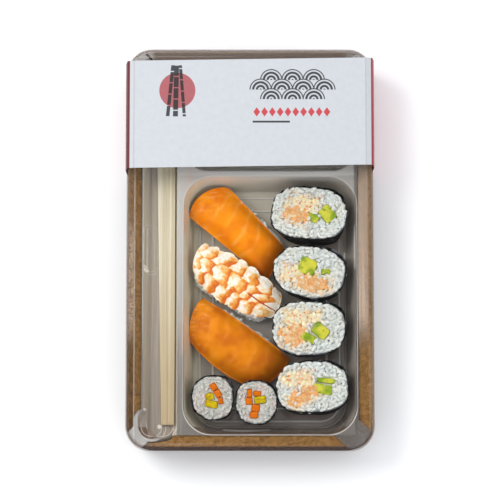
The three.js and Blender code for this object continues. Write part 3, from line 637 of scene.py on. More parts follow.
kraft, place = new_finish("brown_kraft_board")
x, y, z = place.axes()
fibres = place.moved(stretch=(0.35, 1, 1)).grain(0.5, detail=4, rough=0.7, twist=0.6)
mottle = place.grain(2.6, detail=3, rough=0.6)
specks = place.grain(0.9, detail=3, rough=0.6)
fold = z.step(29.2, 29.7) * larger(abs(x).step(68.2, 68.5), abs(y).step(112.3, 112.6))
# Painted shade: the collar's outside and the near rim's fold are painted dark. The left fold is
# darker towards its near end.
flare = (RIM - z) * (CARTON_FLARE / (RIM - CARTON_BASE))
away = round_away(abs(x) + flare, abs(y) + flare, CARTON_HALF_X, CARTON_HALF_Y, CORNER_RADIUS)
outer = away.step(CORNER_RADIUS - 0.4, CORNER_RADIUS - 0.25) * z.step(29.7, 29.4)
outer = larger(outer, y.step(-111.2, -111.8) * z.step(28.6, 29.2))
left_fold = x.step(-64.4, -65.2) * y.step(-42, -58) * (1 - outer)
brown = layered(
    mottle.step(0.3, 0.7).blend((112, 76, 30), (158, 113, 58)),
    (fibres.step(0.5, 0.68) * 0.5, 196, 158, 104),
    (fibres.step(0.44, 0.28) * 0.6, 90, 58, 26),
    (specks.step(0.5, 0.66) * 0.4, 198, 158, 100),
    (specks.step(0.46, 0.32) * 0.35, 74, 44, 12),
    (fold * 0.3, 226, 214, 182),
    (outer * 0.9, 56, 38, 34),
    (left_fold * 0.5, 70, 44, 16),
)
# The far flap is painted greyer, as shade. Its ends, by the open corners, are painted paler as a
# highlight, most on the left.
far_flap = y.step(103, 107) * (1 - outer)
far_ends = y.step(100, 103) * abs(x).step(53, 57) * (1 - outer)
shaded = z.step(29.2, 29.6).blend((156, 140, 130), (172, 160, 140))
far_end_highlight = x.step(-10, 10).blend((236, 233, 228), (196, 190, 184))
brown = (far_ends * 0.9).blend((far_flap * 0.9).blend(brown, shaded), far_end_highlight)
coat(
    place,
    Base_Color=brown,
    Roughness=0.82,
    Specular_IOR_Level=0.12,
    Normal=(fibres + mottle * 0.5).bump(0.1),
)
dress(carton, kraft)
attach(carton, "root")
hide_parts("carton")

# ---------------------------------------------------------------- clear lid
# A clear thermoformed lid. Its skirt drops over the carton's rim, a small step above it stiffens the
# wall, and the flat top panel stands just above the food.
PACK_HALF_X = 69.7
PACK_HALF_Y = 114
LID_TOP = 41
SKIRT = 3.2
LID_RADIUS = CORNER_RADIUS + 0.5
LID_ROUND = 3
CROWN_STEPS = 6
SHOULDER = RIM + RIM_GAP + FILM + 0.25


def lid_ring(inset, z):
    return (PACK_HALF_X - inset, PACK_HALF_Y - inset, LID_RADIUS - inset / 2, z)


def lid_crown(inset, low, high):
    """The round between the lid's wall and its top panel."""
    wide = LID_ROUND - inset
    rings = []
    for i in range(CROWN_STEPS + 1):
        turn = math.pi / 2 * i / CROWN_STEPS
        rings.append(lid_ring(inset + wide * (1 - math.cos(turn)), low + (high - low) * math.sin(turn)))
    return rings


outside = [lid_ring(0, RIM - SKIRT), lid_ring(0, SHOULDER + FILM - 0.2)]
outside += [lid_ring(0.15, SHOULDER + FILM), lid_ring(0.6, SHOULDER + FILM + 0.1)]
outside += lid_crown(1.3, LID_TOP - 1.6, LID_TOP)
inside = [lid_ring(0.35, RIM - SKIRT - 1), lid_ring(0.35, SHOULDER), lid_ring(1.2, SHOULDER + 0.1)]
inside += lid_crown(1.9, LID_TOP - 1.7, LID_TOP - FILM)
lid = made(loft(outside), "clear_lid")
work(lid, "DIFFERENCE", made(loft(inside), "lid_inside"))
crisp(lid, 35)

clear_plastic, place = new_finish("clear_plastic")
x, y, z = place.axes()
ripple = place.grain(22, detail=1).bump(0.25)
gloss = {"Color": (1, 1, 1, 1), "Roughness": 0.05, "Normal": ripple}
gleam = place.node("ShaderNodeBsdfGlossy", (), gloss)
haze = place.node("ShaderNodeBsdfDiffuse", (), {"Color": paint(128, 122, 124)})
facing = place.node("ShaderNodeFresnel", (), {"IOR": 1.32, "Normal": ripple})
wall = z.step(LID_TOP - 0.25, LID_TOP - 1.8)
# Painted shade: seen through its length the wall looks darker than the top panel, so it is given a
# darker see-through tint and more grey haze.
panel_clear = place.node("ShaderNodeBsdfTransparent", (), {"Color": (0.997, 0.997, 0.995, 1)})
wall_clear = place.node("ShaderNodeBsdfTransparent", (), {"Color": (0.8, 0.77, 0.76, 1)})
see = place.node("ShaderNodeMixShader", (), {0: wall, 1: panel_clear, 2: wall_clear})
body = place.node("ShaderNodeMixShader", (), {0: 0.002 + wall * 0.04, 1: see, 2: haze})
shine = facing * (0.1 - wall * 0.05)
shown = place.node("ShaderNodeMixShader", (), {0: shine, 1: body, 2: gleam})
place.node("ShaderNodeOutputMaterial", (), {"Surface": shown})
dress(lid, clear_plastic)
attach(lid, "root")
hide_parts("lid")

# ---------------------------------------------------------------- card sleeve
# A band of white coated card, creased and glued into a loop that slides over the far end. Its sides
# are printed red. On the top panel stand a rising sun with reeds, and fans of grey waves over a row
# of red lozenges and a thin grey bar.
CARD = 0.4
SLEEVE_NEAR = 45.2
SLEEVE_LENGTH = 61.4
SLEEVE_SKEW = 0.014
SLEEVE_STEPS = 8
SLEEVE_TOP = LID_TOP + RIM_GAP
CREASE_X = 65.4


def drawn_out(bm, step, count):
    """Draws a mesh's bare edges out into a sheet, in even steps."""
    edges = list(bm.edges)
    for i in range(count):
        grown = bmesh.ops.extrude_edge_only(bm, edges=edges)["geom"]
        verts = {item for item in grown if isinstance(item, bmesh.types.BMVert)}
        edges = [e for e in grown if isinstance(e, bmesh.types.BMEdge) and verts.issuperset(e.verts)]
        bmesh.ops.translate(bm, vec=step, verts=list(verts))


def thickened(bm, thickness):
    """Gives a sheet its thickness."""
    bmesh.ops.recalc_face_normals(bm, faces=bm.faces)
    bmesh.ops.solidify(bm, geom=bm.faces, thickness=thickness)
    bmesh.ops.recalc_face_normals(bm, faces=bm.faces)
    return bm


# Half of the band's section, from its floor up to its top: each corner's place and its rounding.
half_section = [
    (68.6, CARD, 1.2),
    (PACK_HALF_X + RIM_GAP, RIM - SKIRT - 0.5, 0),
    (PACK_HALF_X + RIM_GAP, RIM + 2, 0),
    (PACK_HALF_X - 0.8, SLEEVE_TOP - 0.75, 0.9),
    (CREASE_X, SLEEVE_TOP, 0.5),
]
bm = bmesh.new()
section = half_section + [(-x, z, bend) for x, z, bend in reversed(half_section)]
corners = [bm.verts.new((x, SLEEVE_NEAR, z)) for x, z, bend in section]
for corner, following in zip(corners, corners[1:] + corners[:1]):
    bm.edges.new((corner, following))
for corner, (x, z, bend) in zip(corners, section):
    if bend:
        bmesh.ops.bevel(
            bm, geom=[corner], offset=bend, segments=4, profile=0.5, affect="VERTICES", material=-1,
        )
drawn_out(bm, (0, SLEEVE_LENGTH / SLEEVE_STEPS, 0), SLEEVE_STEPS)
for v in bm.verts:
    v.co.y += SLEEVE_SKEW * v.co.x
sleeve = made(thickened(bm, -CARD), "card_sleeve", smooth=24)

printed_card, place = new_finish("white_card_printed")
x, y, z = place.axes()


def bar(x, y, at_x, at_y, half_x, half_y, soft=0.1):
    """1 inside a rectangle and 0 outside it."""
    inside_x = abs(x - at_x).step(half_x + soft, half_x - soft)
    return inside_x * abs(y - at_y).step(half_y + soft, half_y - soft)


top_panel = z.step(40.2, 40.6)
ink_red = disc(x, y, -41, 88.5, 10.2)[0] * top_panel
# Three reeds lean across the sun.
reeds = None
for start, lean, wide in ((-46.2, 0.10, 1.0), (-42.0, 0.02, 1.4), (-37.2, -0.08, 0.9)):
    stalk = abs(x - start - (y - 76) * lean).step(wide + 0.12, wide - 0.12)
    stalk = stalk * y.step(73.4, 73.8) * y.step(103.2, 102.8)
    knots = y * (1 / 6.5) + lean * 7
    stalk = stalk * (1 - knots.off_middle().step(0.44, 0.47))
    reeds = stalk if reeds is None else larger(reeds, stalk)
# Wave fans: rings inside each disc, with the nearer fans over the farther ones. Each row has the
# place of its first fan, and how many stand in it.
FAN_ROWS = ((12, 94.5, 3), (6, 89, 4), (12, 83.5, 3))
FAN_PITCH = 12
FAN_RADIUS = 6.3
fans = None
fan_spots = [(row_x + FAN_PITCH * i, row_y) for row_x, row_y, count in FAN_ROWS for i in range(count)]
for at_x, at_y in fan_spots:
    inside_fan, away = disc(x, y, at_x, at_y, FAN_RADIUS)
    rings = (away * (3 / FAN_RADIUS)).off_middle().step(0.16, 0.24)
    inside_fan = inside_fan * y.step(at_y - 0.1, at_y + 0.1)
    fans = rings * inside_fan if fans is None else fans * (1 - inside_fan) + rings * inside_fan
ink_grey = larger(fans, reeds) * top_panel
# A row of red lozenges under the waves, and a thin grey bar under it.
across = ((x + 2.8) * (1 / 4.4)).off_middle() * 4.4
lozenges = (across * (1 / 1.9) + abs(y - 76.2) * (1 / 2.7)).step(1.06, 0.94)
red_row = lozenges * bar(x, y, 23.6, 76.2, 22, 4) * top_panel
grey_bar = bar(x, y, 12, 70.6, 10.5, 0.55) * top_panel
sides = larger(x.step(68.3, 68.5), x.step(-67.7, -67.9)) * z.step(1.2, 1.6)
paper = place.grain(3, detail=3).step(0.2, 0.8)
card = paper.blend((186, 190, 194), (192, 195, 199))
# Painted shade: the creases and the strips that slope down past them are painted darker.
crease = abs(abs(x) - CREASE_X).step(0.5, 0.15) * top_panel
card = (crease * 0.5 + abs(x).step(CREASE_X, CREASE_X + 0.6) * 0.14).blend(card, (150, 153, 158))
card = larger(ink_grey, grey_bar).blend(card, (46, 48, 54))
card = (ink_red * 0.9).blend(card, (214, 76, 82), "MULTIPLY")
card = red_row.blend(card, (186, 58, 66))
# The printed red sides: the left one is painted darker as shade, the right one lighter.
card = sides.blend(card, x.step(-10, 10).blend((92, 0, 6), (144, 20, 36)))
coat(
    place,
    Base_Color=card,
    Roughness=0.5,
    Normal=(place.grain(0.35, detail=3) + place.grain(20) * 8).bump(0.03),
)
dress(sleeve, printed_card)
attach(sleeve, "root")
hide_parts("sleeve")

# ---------------------------------------------------------------- chopsticks
# One pair of disposable chopsticks of pale sawn wood, side by side and still joined. They taper to
# the near end, and a saw groove runs between them above and below.
STICK_LENGTH = 199.5
STICK_NEAR_Y = -98.5
STICK_THICK = 4.6
STICK_Z = 14.3
GROOVE = 0.3
STICK_STEPS = 24

# The pair's middle, its width and its share of the full thickness, at the near and at the far end.
STICK_NEAR = (-46.58, 7.55, 0.8)
STICK_FAR = (-47.9, 11.35, 1)

# The outline of the pair, from the upper right corner round over the top: each point's side, what it
# belongs to, and whether it is on top.
STICK_OUTLINE = (
    (1, "corner", 1), (1, "groove", 1), (0, "saw", 1), (-1, "groove", 1), (-1, "corner", 1),
    (-1, "corner", 0), (-1, "groove", 0), (0, "saw", 0), (1, "groove", 0), (1, "corner", 0),
)

bm = bmesh.new()
bmesh.ops.create_circle(bm, cap_ends=True, segments=len(STICK_OUTLINE), radius=1)
end = bm.faces[:][0]
for step in range(STICK_STEPS):
    grown = bmesh.ops.extrude_face_region(bm, geom=[end])["geom"]
    if step:
        bmesh.ops.delete(bm, geom=[end], context="FACES_ONLY")
    end = next(item for item in grown if isinstance(item, bmesh.types.BMFace))
    bmesh.ops.translate(bm, vec=(0, 0, 1), verts=list(end.verts))
for v in bm.verts:
    share = v.co.z / STICK_STEPS
    point = math.floor(math.atan2(v.co.y, v.co.x) / math.tau * len(STICK_OUTLINE))
    side, kind, upper = STICK_OUTLINE[point % len(STICK_OUTLINE)]
    x_mid, width, flat = (near + (far - near) * share for near, far in zip(STICK_NEAR, STICK_FAR))
    x_mid += 0.12 * math.sin(5 * share + 1)
    z = STICK_THICK * flat * upper
    if kind == "saw":
        z += 2 * GROOVE * (1 - 2 * upper)
    x = side * (GROOVE if kind == "groove" else width / 2)
    v.co = (x_mid + x, STICK_NEAR_Y + STICK_LENGTH * share, STICK_Z + z)
bmesh.ops.recalc_face_normals(bm, faces=bm.faces)
long_edges = [
    edge for edge in bm.edges
    if edge.calc_face_angle(0) > 0.9 and abs(edge.verts[0].co.y - edge.verts[1].co.y) > 1
]
bmesh.ops.bevel(
    bm, geom=long_edges, offset=0.35, segments=2, profile=0.5, affect="EDGES", material=-1,
    clamp_overlap=True,
)
sticks = made(bm, "joined_chopsticks")
crisp(sticks, 30)

pale_wood, place = new_finish("pale_sawn_wood")
y = place.axes()[1]
long_grain = place.moved(stretch=(1, 0.012, 1)).grain(0.5, detail=5, rough=0.65, twist=0.3)
bands = place.moved(stretch=(1, 0.004, 1)).grain(1.6, detail=2).step(0.35, 0.7)
pores = place.moved(stretch=(1, 0.06, 1)).grain(0.22, detail=2).step(0.62, 0.75)
wood = layered(
    bands.blend((210, 200, 172), (234, 228, 208)),
    (y.step(10, -90) * 0.75, 184, 162, 122),
    (long_grain.step(0.55, 0.3) * 0.5, 205, 184, 142),
    (pores * 0.35, 188, 162, 118),
)
coat(place, Base_Color=wood, Roughness=0.62, Normal=(long_grain - pores * 0.5).bump(0.12))
dress(sticks, pale_wood)
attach(sticks, "root")
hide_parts("chopsticks")

# ---------------------------------------------------------------- rolls
# Rice and fillings rolled up in a sheet of toasted seaweed, sliced across with a wet knife and stood
# on a cut face. The thick rolls hold salmon, a crab mix and avocado, and the thin ones strips of
# carrot and pickled radish.
SEAWEED = 0.6
SWELL = 0.8
FLOOR_REST = 3.1
WRAP_POINTS = 120
WRAP_LEVELS = 12
CORE_POINTS = 72
FILL_POINTS = 40
STRIP_POINTS = 48
GRAIN_LENGTH = 5.0
GRAIN_WIDTH = 2.2
STEEP_SHARE = 0.35
FLECK_SHARE = 0.09
CRUMB_AREA = 55
ABOVE_ALL = 45
STAIN_REACH = 4.5
BEND_SEED = 7

# What the rolls of a kind share: their height, how square they are, how narrow their foot is, how
# large their grains are, and how far the core under the grains is sunk.
THICK = {"tall": 21.5, "square": 2.7, "foot_x": 0.93, "foot_y": 0.97, "fine": 1.0, "sunk": 1.75}
THIN = {"tall": 19.5, "square": 2.3, "foot_x": 0.94, "foot_y": 0.96, "fine": 0.82, "sunk": 1.2}

# Each roll: its seed, the middle of its cut face, its width, height, turn and leans. Each filling:
# its middle on that face, its two widths and its turn.
ROLLS = {
    "thick_roll_1": {
        **THICK, "seed": 11, "spot": (33.4, 20.6), "size": (43.2, 29.4), "turn": -5,
        "lean": (-0.08, -0.08), "foot_x": 0.9,
        "fills": {
            "avocado_a": (10.5, 0.4, 8.8, 6.7, -46), "avocado_b": (2.6, -2.2, 6, 3.8, -30),
            "salmon": (-7.1, -0.8, 12.4, 9, -8), "crab": (-3.2, 6, 14, 5.6, -8),
        },
    },
    "thick_roll_2": {
        **THICK, "seed": 12, "spot": (33.9, -12.7), "size": (41.2, 29), "turn": -10,
        "lean": (-0.06, -0.03), "square": 2.3, "foot_y": 0.94,
        "fills": {
            "avocado_a": (-1.9, 2.8, 9.2, 8.6, -12), "avocado_b": (8.8, 1.6, 4.2, 2.4, 10),
            "salmon": (2.6, -5.9, 18, 7.4, -8), "crab": (-10, -2.6, 9, 7.4, 0),
        },
    },
    "thick_roll_3": {
        **THICK, "seed": 13, "spot": (33.2, -44.7), "size": (40.6, 30.4), "turn": -2,
        "lean": (-0.05, 0), "foot_y": 0.95,
        "fills": {
            "avocado_a": (6.6, -1.4, 8.6, 6.2, -38), "avocado_b": (0.2, -5.4, 8.4, 4, -24),
            "salmon": (-8.8, -4.2, 12, 10.4, 0), "crab": (-4.4, 6, 19, 6.4, 0),
        },
    },
    "thick_roll_4": {
        **THICK, "seed": 14, "spot": (35.2, -78), "size": (39.6, 29.4), "turn": 1,
        "lean": (-0.05, -0.03),
        "fills": {
            "avocado_a": (5.4, -1.2, 10, 5, -12), "avocado_b": (7.6, 3.6, 9.4, 2.2, -8),
            "salmon": (-5.4, -4.6, 15, 7, 32), "crab": (-8.6, 4.6, 14, 6, -4),
        },
    },
    "thin_roll_1": {
        **THIN, "seed": 15, "spot": (-20.9, -84), "size": (23.2, 25), "turn": 0,
        "lean": (-0.05, 0.17),
        "fills": {
            "carrot_a": (0.4, 6.2, 3.4, 3, -60), "carrot_b": (2.8, 2.4, 3.8, 3, -60),
            "carrot_c": (4.4, -1.7, 3.1, 2, -84), "radish_a": (-1.9, 0.7, 4, 3.4, 20),
            "radish_b": (-0.9, -3.5, 6.4, 3.4, -12),
        },
    },
    "thin_roll_2": {
        **THIN, "seed": 16, "spot": (3.4, -86.4), "size": (23.2, 24.4), "turn": 0,
        "lean": (0, 0.1),
        "fills": {
            "carrot_a": (-3.7, 5.2, 2.3, 4, 0), "carrot_b": (0.6, 5, 3.8, 2.3, -5),
            "carrot_c": (-3.9, 0.7, 3.2, 3.5, 4), "carrot_d": (-0.2, -3.2, 3.9, 3.6, -5),
            "carrot_e": (-1.1, -7.1, 4, 3.1, 0), "radish_a": (2.3, 1.4, 6, 3.6, 6),
        },
    },
}


def roll_stand(roll):
    """Where a roll stands: its face's middle is in its spot, and its lowest edge on the floor."""
    lean_x, lean_y = roll["lean"]
    turned = (
        Matrix.Rotation(lean_x, 4, "Y")
        @ Matrix.Rotation(lean_y, 4, "X")
        @ Matrix.Rotation(math.radians(roll["turn"]), 4, "Z")
    )
    up = turned @ Vector((0, 0, roll["tall"]))
    rise = abs(lean_x) * roll["size"][0] / 2 + abs(lean_y) * roll["size"][1] / 2
    spot = Vector((roll["spot"][0] - up.x, roll["spot"][1] - up.y, FLOOR_REST + rise))
    return Matrix.Translation(spot) @ turned


def bent(value, square):
    """A sine or cosine, squared off for a squarish outline."""
    return math.copysign(abs(value) ** (2 / square), value)


def roll_outline(roll, angle, share, grow):
    """A point of a roll's outline at a share of its height."""
    uneven = 1 + 0.018 * math.sin(2 * angle + roll["seed"])
    uneven += 0.014 * math.sin(3 * angle + 2 * roll["seed"])
    uneven += 0.009 * math.sin(7 * angle + 3 * roll["seed"])
    sizes = []
    for size, foot in zip(roll["size"], (roll["foot_x"], roll["foot_y"])):
        sizes.append(size / 2 * (foot + (1 - foot) * share) * uneven + grow + SWELL * share)
    x = sizes[0] * bent(math.cos(angle), roll["square"])
    return x, sizes[1] * bent(math.sin(angle), roll["square"])


def inside_face(roll, x, y, margin):
    """Whether a place lies on a roll's cut face, at least this far in from its edge."""
    share_x, share_y = (abs(v) / (size / 2 + SWELL - margin) for v, size in zip((x, y), roll["size"]))
    return share_x ** roll["square"] + share_y ** roll["square"] < 1


def fill_axes(fill, x, y):
    """How far a place lies out past a filling's sides. Both measures are below 0 inside it."""
    at_x, at_y, wide, high, turn = fill
    local = Matrix.Rotation(-math.radians(turn), 2) @ Vector((x - at_x, y - at_y))
    return abs(local.x) - wide / 2, abs(local.y) - high / 2


def shaped_tube(roll, grow, levels, points, low, high):
    """An open tube that follows a roll's outline."""
    bm = bmesh.new()
    bmesh.ops.create_circle(bm, cap_ends=False, segments=points, radius=1)
    drawn_out(bm, (0, 0, 1 / levels), levels)
    for v in bm.verts:
        x, y = roll_outline(roll, math.atan2(v.co.y, v.co.x), v.co.z, grow)
        v.co = (x, y, low + (high - low) * v.co.z)
    return bm


def seaweed_wrap(roll):
    """The seaweed: a thin sheet, finely wrinkled, whose end laps over its start on the right."""
    bm = shaped_tube(roll, -SEAWEED / 2, WRAP_LEVELS, WRAP_POINTS, 0, roll["tall"] + 0.2)
    for v in bm.verts:
        angle = math.atan2(v.co.y, v.co.x)
        outward = Vector((v.co.x, v.co.y, 0)).normalized()
        lap = max(0.0, min(1.0, (angle - 0.35) * 14)) * max(0.0, min(1.0, (1.45 - angle) * 2))
        wrinkle = noise.noise(v.co * 0.22 + Vector((roll["seed"], 0, 0))) * 0.3
        wrinkle += noise.noise(Vector((v.co.x * 0.6, v.co.y * 0.6, v.co.z * 0.15))) * 0.22
        v.co += outward * (0.7 * lap + wrinkle - 0.1)
        if v.co.z > roll["tall"]:
            v.co += outward * 0.3 * noise.noise(v.co * 0.9)
            v.co.z += 0.6 * noise.noise(v.co * 0.5) - 0.1
    return thickened(bm, SEAWEED)


seaweed, place = new_finish("toasted_seaweed")
crinkle = place.grain(1.1, detail=5, rough=0.7, twist=0.8)
sheen = place.grain(5, detail=2).step(0.35, 0.7)
dark = crinkle.step(0.3, 0.75).blend((4, 4, 4), (20, 21, 22))
# Painted sheen: blue-grey patches where the seaweed catches the light.
dark = (place.grain(5, detail=3).step(0.54, 0.68) * 0.7).blend(dark, (102, 107, 118))
coat(
    place,
    Base_Color=dark,
    Roughness=0.5 + 0.25 * crinkle,
    Specular_IOR_Level=0.12,
    Normal=(crinkle + sheen * 0.6).bump(0.3),
)


def joined(parts):
    """Several meshes as one."""
    whole = bmesh.new()
    for part in parts:
        mesh = bpy.data.meshes.new("part")
        part.to_mesh(mesh)
        part.free()
        whole.from_mesh(mesh)
        bpy.data.meshes.remove(mesh)
    return whole


def loosened(piece):
    """Turns a piece back into a mesh in millimetres, and uses it up."""
    bm = bmesh.new()
    bm.from_mesh(piece.data)
    bmesh.ops.scale(bm, vec=(1 / MM, 1 / MM, 1 / MM), verts=bm.verts)
    bpy.data.objects.remove(piece)
    return bm


def lump(bm, spot, turn, pitch, sizes, material=0):
    """One small closed lump, as long as sizes says along each of its axes."""
    frame_of = (
        Matrix.Translation(spot)
        @ Matrix.Rotation(turn, 4, "Z")
        @ Matrix.Rotation(pitch, 4, "Y")
        @ Matrix.Diagonal((*(s / 2 for s in sizes), 1))
    )
    ball = bmesh.ops.create_uvsphere(bm, u_segments=8, v_segments=6, radius=1, matrix=frame_of)
    verts = ball["verts"]
    for face in {face for v in verts for face in v.link_faces}:
        face.material_index = material
    return verts


# Grains and flakes are bent by a noise that would otherwise start from the clock in each run.
noise.seed_set(BEND_SEED)


def grain_at(bm, draw, spot, turn, pitch, fine=1.0):
    """One cooked grain, a little bent and uneven."""
    length = GRAIN_LENGTH * draw.uniform(0.78, 1.12) * fine
    width = GRAIN_WIDTH * draw.uniform(0.88, 1.1) * fine
    verts = lump(bm, spot, turn, pitch, (length, width, width * draw.uniform(0.85, 1.0)))
    offset = Vector((draw.uniform(-9, 9), draw.uniform(-9, 9), 0))
    for v in verts:
        v.co += 0.16 * noise.noise_vector(v.co * 0.5 + offset)
    return verts


# What a soft filling's flakes are like: how many on each square millimetre, and their sizes. They
# are made in batches, which are joined later, because that is faster.
FLAKES = {"salmon": (0.32, 3.0, 5.4), "crab": (0.36, 2.6, 4.6)}
BATCH = 20

# Each layer of grains on a cut face: their spacing along X and Y, and how far below the face.
RICE_LAYERS = ((2.8, 2.3, -1.5), (2.6, 2.1, -0.9), (2.8, 2.3, -0.45))


def rice_face(roll, draw):
    """Grains packed over a roll's cut face, round its fillings, the highest pressed down a little."""
    batches = []
    tall, fine = roll["tall"], roll["fine"]
    for pitch_x, pitch_y, depth in RICE_LAYERS:
        pitch_x, pitch_y = pitch_x * fine, pitch_y * fine
        columns = math.ceil(roll["size"][0] / pitch_x)
        rows = math.ceil(roll["size"][1] / pitch_y)
        for row in range(rows + 1):
            bm = bmesh.new()
            batches.append(bm)
            for column in range(columns + 1):
                x = (column - columns / 2 + (row % 2) / 2 + draw.uniform(-0.45, 0.45)) * pitch_x
                y = (row - rows / 2 + draw.uniform(-0.45, 0.45)) * pitch_y
                turn = draw.uniform(0, math.pi)
                steep = draw.random() < STEEP_SHARE
                pitch = draw.uniform(0.7, 1.4) if steep else draw.uniform(-0.45, 0.45)
                z = tall + depth + draw.uniform(-0.45, 0.45) - (1.1 if steep else 0)
                reach = (GRAIN_LENGTH / 2 - 0.5) * fine * math.cos(pitch)
                is_free = True
                for end in (-1, 0, 1):
                    end_x = x + end * reach * math.cos(turn)
                    end_y = y + end * reach * math.sin(turn)
                    if not inside_face(roll, end_x, end_y, 1.35):
                        is_free = False
                    for filling, fill in roll["fills"].items():
                        keep_off = draw.uniform(-3.2, -0.3) if filling in FLAKES else 0.9
                        if filling.startswith("avocado"):
                            keep_off = draw.uniform(-0.9, 1.0)
                        if max(fill_axes(fill, end_x, end_y)) < keep_off:
                            is_free = False
                if not is_free:
                    continue
                verts = grain_at(bm, draw, Vector((x, y, z)), turn, pitch, fine)
                level = tall + draw.uniform(0.2, 0.8) * fine * fine
                for v in verts:
                    if v.co.z > level:
                        v.co.z = level + (v.co.z - level) * 0.35
    # Rows of grains along the edge, some of which lie over the seaweed at the far left.
    for drop, spacing, shown in ((-1.5, 2.9, 1.0), (-0.6, 3.1, 0.75)):
        bm = bmesh.new()
        batches.append(bm)
        count = round(math.pi * sum(roll["size"]) / 2 / spacing / fine)
        for i in range(count):
            angle = (i + draw.uniform(-0.35, 0.35)) / count * math.tau
            over = max(0.0, math.cos(angle - 2.5)) if fine == 1 else 0.0
            inset = (1.95 - 0.7 * over) * fine + draw.uniform(-0.15, 0.7)
            x, y = roll_outline(roll, angle, 1, -inset)
            ahead_x, ahead_y = roll_outline(roll, angle + 0.05, 1, -inset)
            turn = math.atan2(ahead_y - y, ahead_x - x) + draw.uniform(-0.45, 0.45)
            z = tall + drop + draw.uniform(-0.3, 0.2) + 0.4 * over
            if draw.random() < shown:
                grain_at(bm, draw, Vector((x, y, z)), turn, draw.uniform(-0.2, 0.2), 0.9 * fine)
    return joined(batches)


def solid_prism(points_of, points, low, high, grow, dome=0.0):
    """A closed prism with a rounded upper edge, over any outline."""
    bm = bmesh.new()
    bmesh.ops.create_circle(bm, cap_ends=True, segments=points, radius=1)
    base = bm.faces[:][0]
    top = next(
        item for item in bmesh.ops.extrude_face_region(bm, geom=[base])["geom"]
        if isinstance(item, bmesh.types.BMFace)
    )
    bmesh.ops.translate(bm, vec=(0, 0, 1), verts=list(top.verts))
    for v in bm.verts:
        share = v.co.z
        x, y = points_of(math.atan2(v.co.y, v.co.x), share, grow)
        v.co = (x, y, low + (high - low) * share)
    if dome:
        for rise, thickness in ((dome * 0.6, dome * 0.4), (dome * 0.4, dome)):
            bmesh.ops.inset_region(bm, faces=[top], thickness=thickness, use_even_offset=True)
            bmesh.ops.translate(bm, vec=(0, 0, rise), verts=list(top.verts))
    bmesh.ops.recalc_face_normals(bm, faces=bm.faces)
    return bm


def fill_outline(fill, soft, seed, angle, share, grow):
    """A point of a filling's outline: square-cut, or lumpy where it is a soft mix. It is the same at
    each share of the roll's height."""
    at_x, at_y, wide, high, turn = fill
    square = 2.2 if soft else 7
    swell = 1 + 0.1 * math.sin(3 * angle + at_x) if soft else 1 + 0.02 * math.sin(5 * angle + seed)
    x = (wide / 2 + grow) * bent(math.cos(angle), square) * swell
    y = (high / 2 + grow) * bent(math.sin(angle), square) * swell
    turned = Matrix.Rotation(math.radians(turn), 2) @ Vector((x, y))
    return turned.x + at_x, turned.y + at_y


def moist(place, share, reach, glow, **sockets):
    """Closes a food's finish. A share of the light spreads inside it, this many millimetres far and
    tinted by its glow."""
    coat(
        place,
        Subsurface_Weight=share,
        Subsurface_Scale=reach * MM,
        Subsurface_Radius=glow,
        **sockets,
    )


cooked_rice, place = new_finish("cooked_rice")
wet = place.grain(1.6, detail=3).step(0.3, 0.75)
warm = place.grain(9, detail=2).step(0.42, 0.72)
white = layered(
    wet.blend((199, 205, 200), (234, 238, 234)),
    (warm * 0.25, 232, 220, 190),
)
# The soft fillings stain the rice beside them.
stain = place.node("ShaderNodeAttribute", {"attribute_name": "stain"}, output="Fac")
stained = stain * (0.15 + place.grain(3, detail=3).step(0.4, 0.62))
juice = place.grain(5).step(0.4, 0.6).blend((242, 214, 158), (240, 184, 128))
moist(
    place, 0.25, 1.8, (1.0, 0.92, 0.8),
    Base_Color=(stained * 0.8).blend(white, juice),
    Roughness=0.34 + 0.2 * wet,
    Specular_IOR_Level=0.35,
    Normal=place.grain(0.7, detail=3).bump(0.1),
)

rosy_rice, place = new_finish("rice_tinted_by_vinegar")
wet = place.grain(1.6, detail=3).step(0.3, 0.75)
rosy = place.grain(7, detail=1).step(0.4, 0.7)
moist(
    place, 0.25, 1.8, (1.0, 0.9, 0.8),
    Base_Color=layered(
        wet.blend((178, 180, 172), (216, 216, 208)),
        (rosy * 0.35, 226, 196, 190),
    ),
    Roughness=0.34 + 0.2 * wet,
    Specular_IOR_Level=0.3,
    Normal=place.grain(0.7, detail=3).bump(0.1),
)

avocado, place = new_finish("ripe_avocado")
flesh = place.grain(5.5, detail=2).step(0.36, 0.66)
veins = place.grain(0.8, detail=4, rough=0.7)
green = layered(
    flesh.blend((206, 202, 56), (124, 154, 10)),
    (veins.step(0.5, 0.7) * 0.3, 214, 216, 70),
    (place.grain(3.6).step(0.53, 0.68) * 0.7, 88, 134, 14),
)
moist(
    place, 0.15, 1, (0.7, 1.0, 0.2),
    Base_Color=green,
    Roughness=0.45,
    Specular_IOR_Level=0.25,
    Normal=veins.bump(0.25),
)

carrot, place = new_finish("carrot_strip")
strands = place.moved(stretch=(1, 1, 0.2)).grain(0.7, detail=4, rough=0.7)
orange = strands.step(0.3, 0.75).blend((202, 92, 0), (234, 126, 0))
coat(place, Base_Color=orange, Roughness=0.5, Specular_IOR_Level=0.1, Normal=strands.bump(0.18))

radish, place = new_finish("yellow_pickled_radish")
pulp = place.grain(1.2, detail=4, rough=0.7)
yellow = layered(
    pulp.step(0.3, 0.72).blend((160, 130, 0), (232, 210, 0)),
    (place.grain(3).step(0.52, 0.68) * 0.5, 190, 130, 0),
)
moist(
    place, 0.2, 1, (1.0, 0.9, 0.1),
    Base_Color=yellow,
    Roughness=0.4,
    Specular_IOR_Level=0.1,
    Normal=pulp.bump(0.25),
)

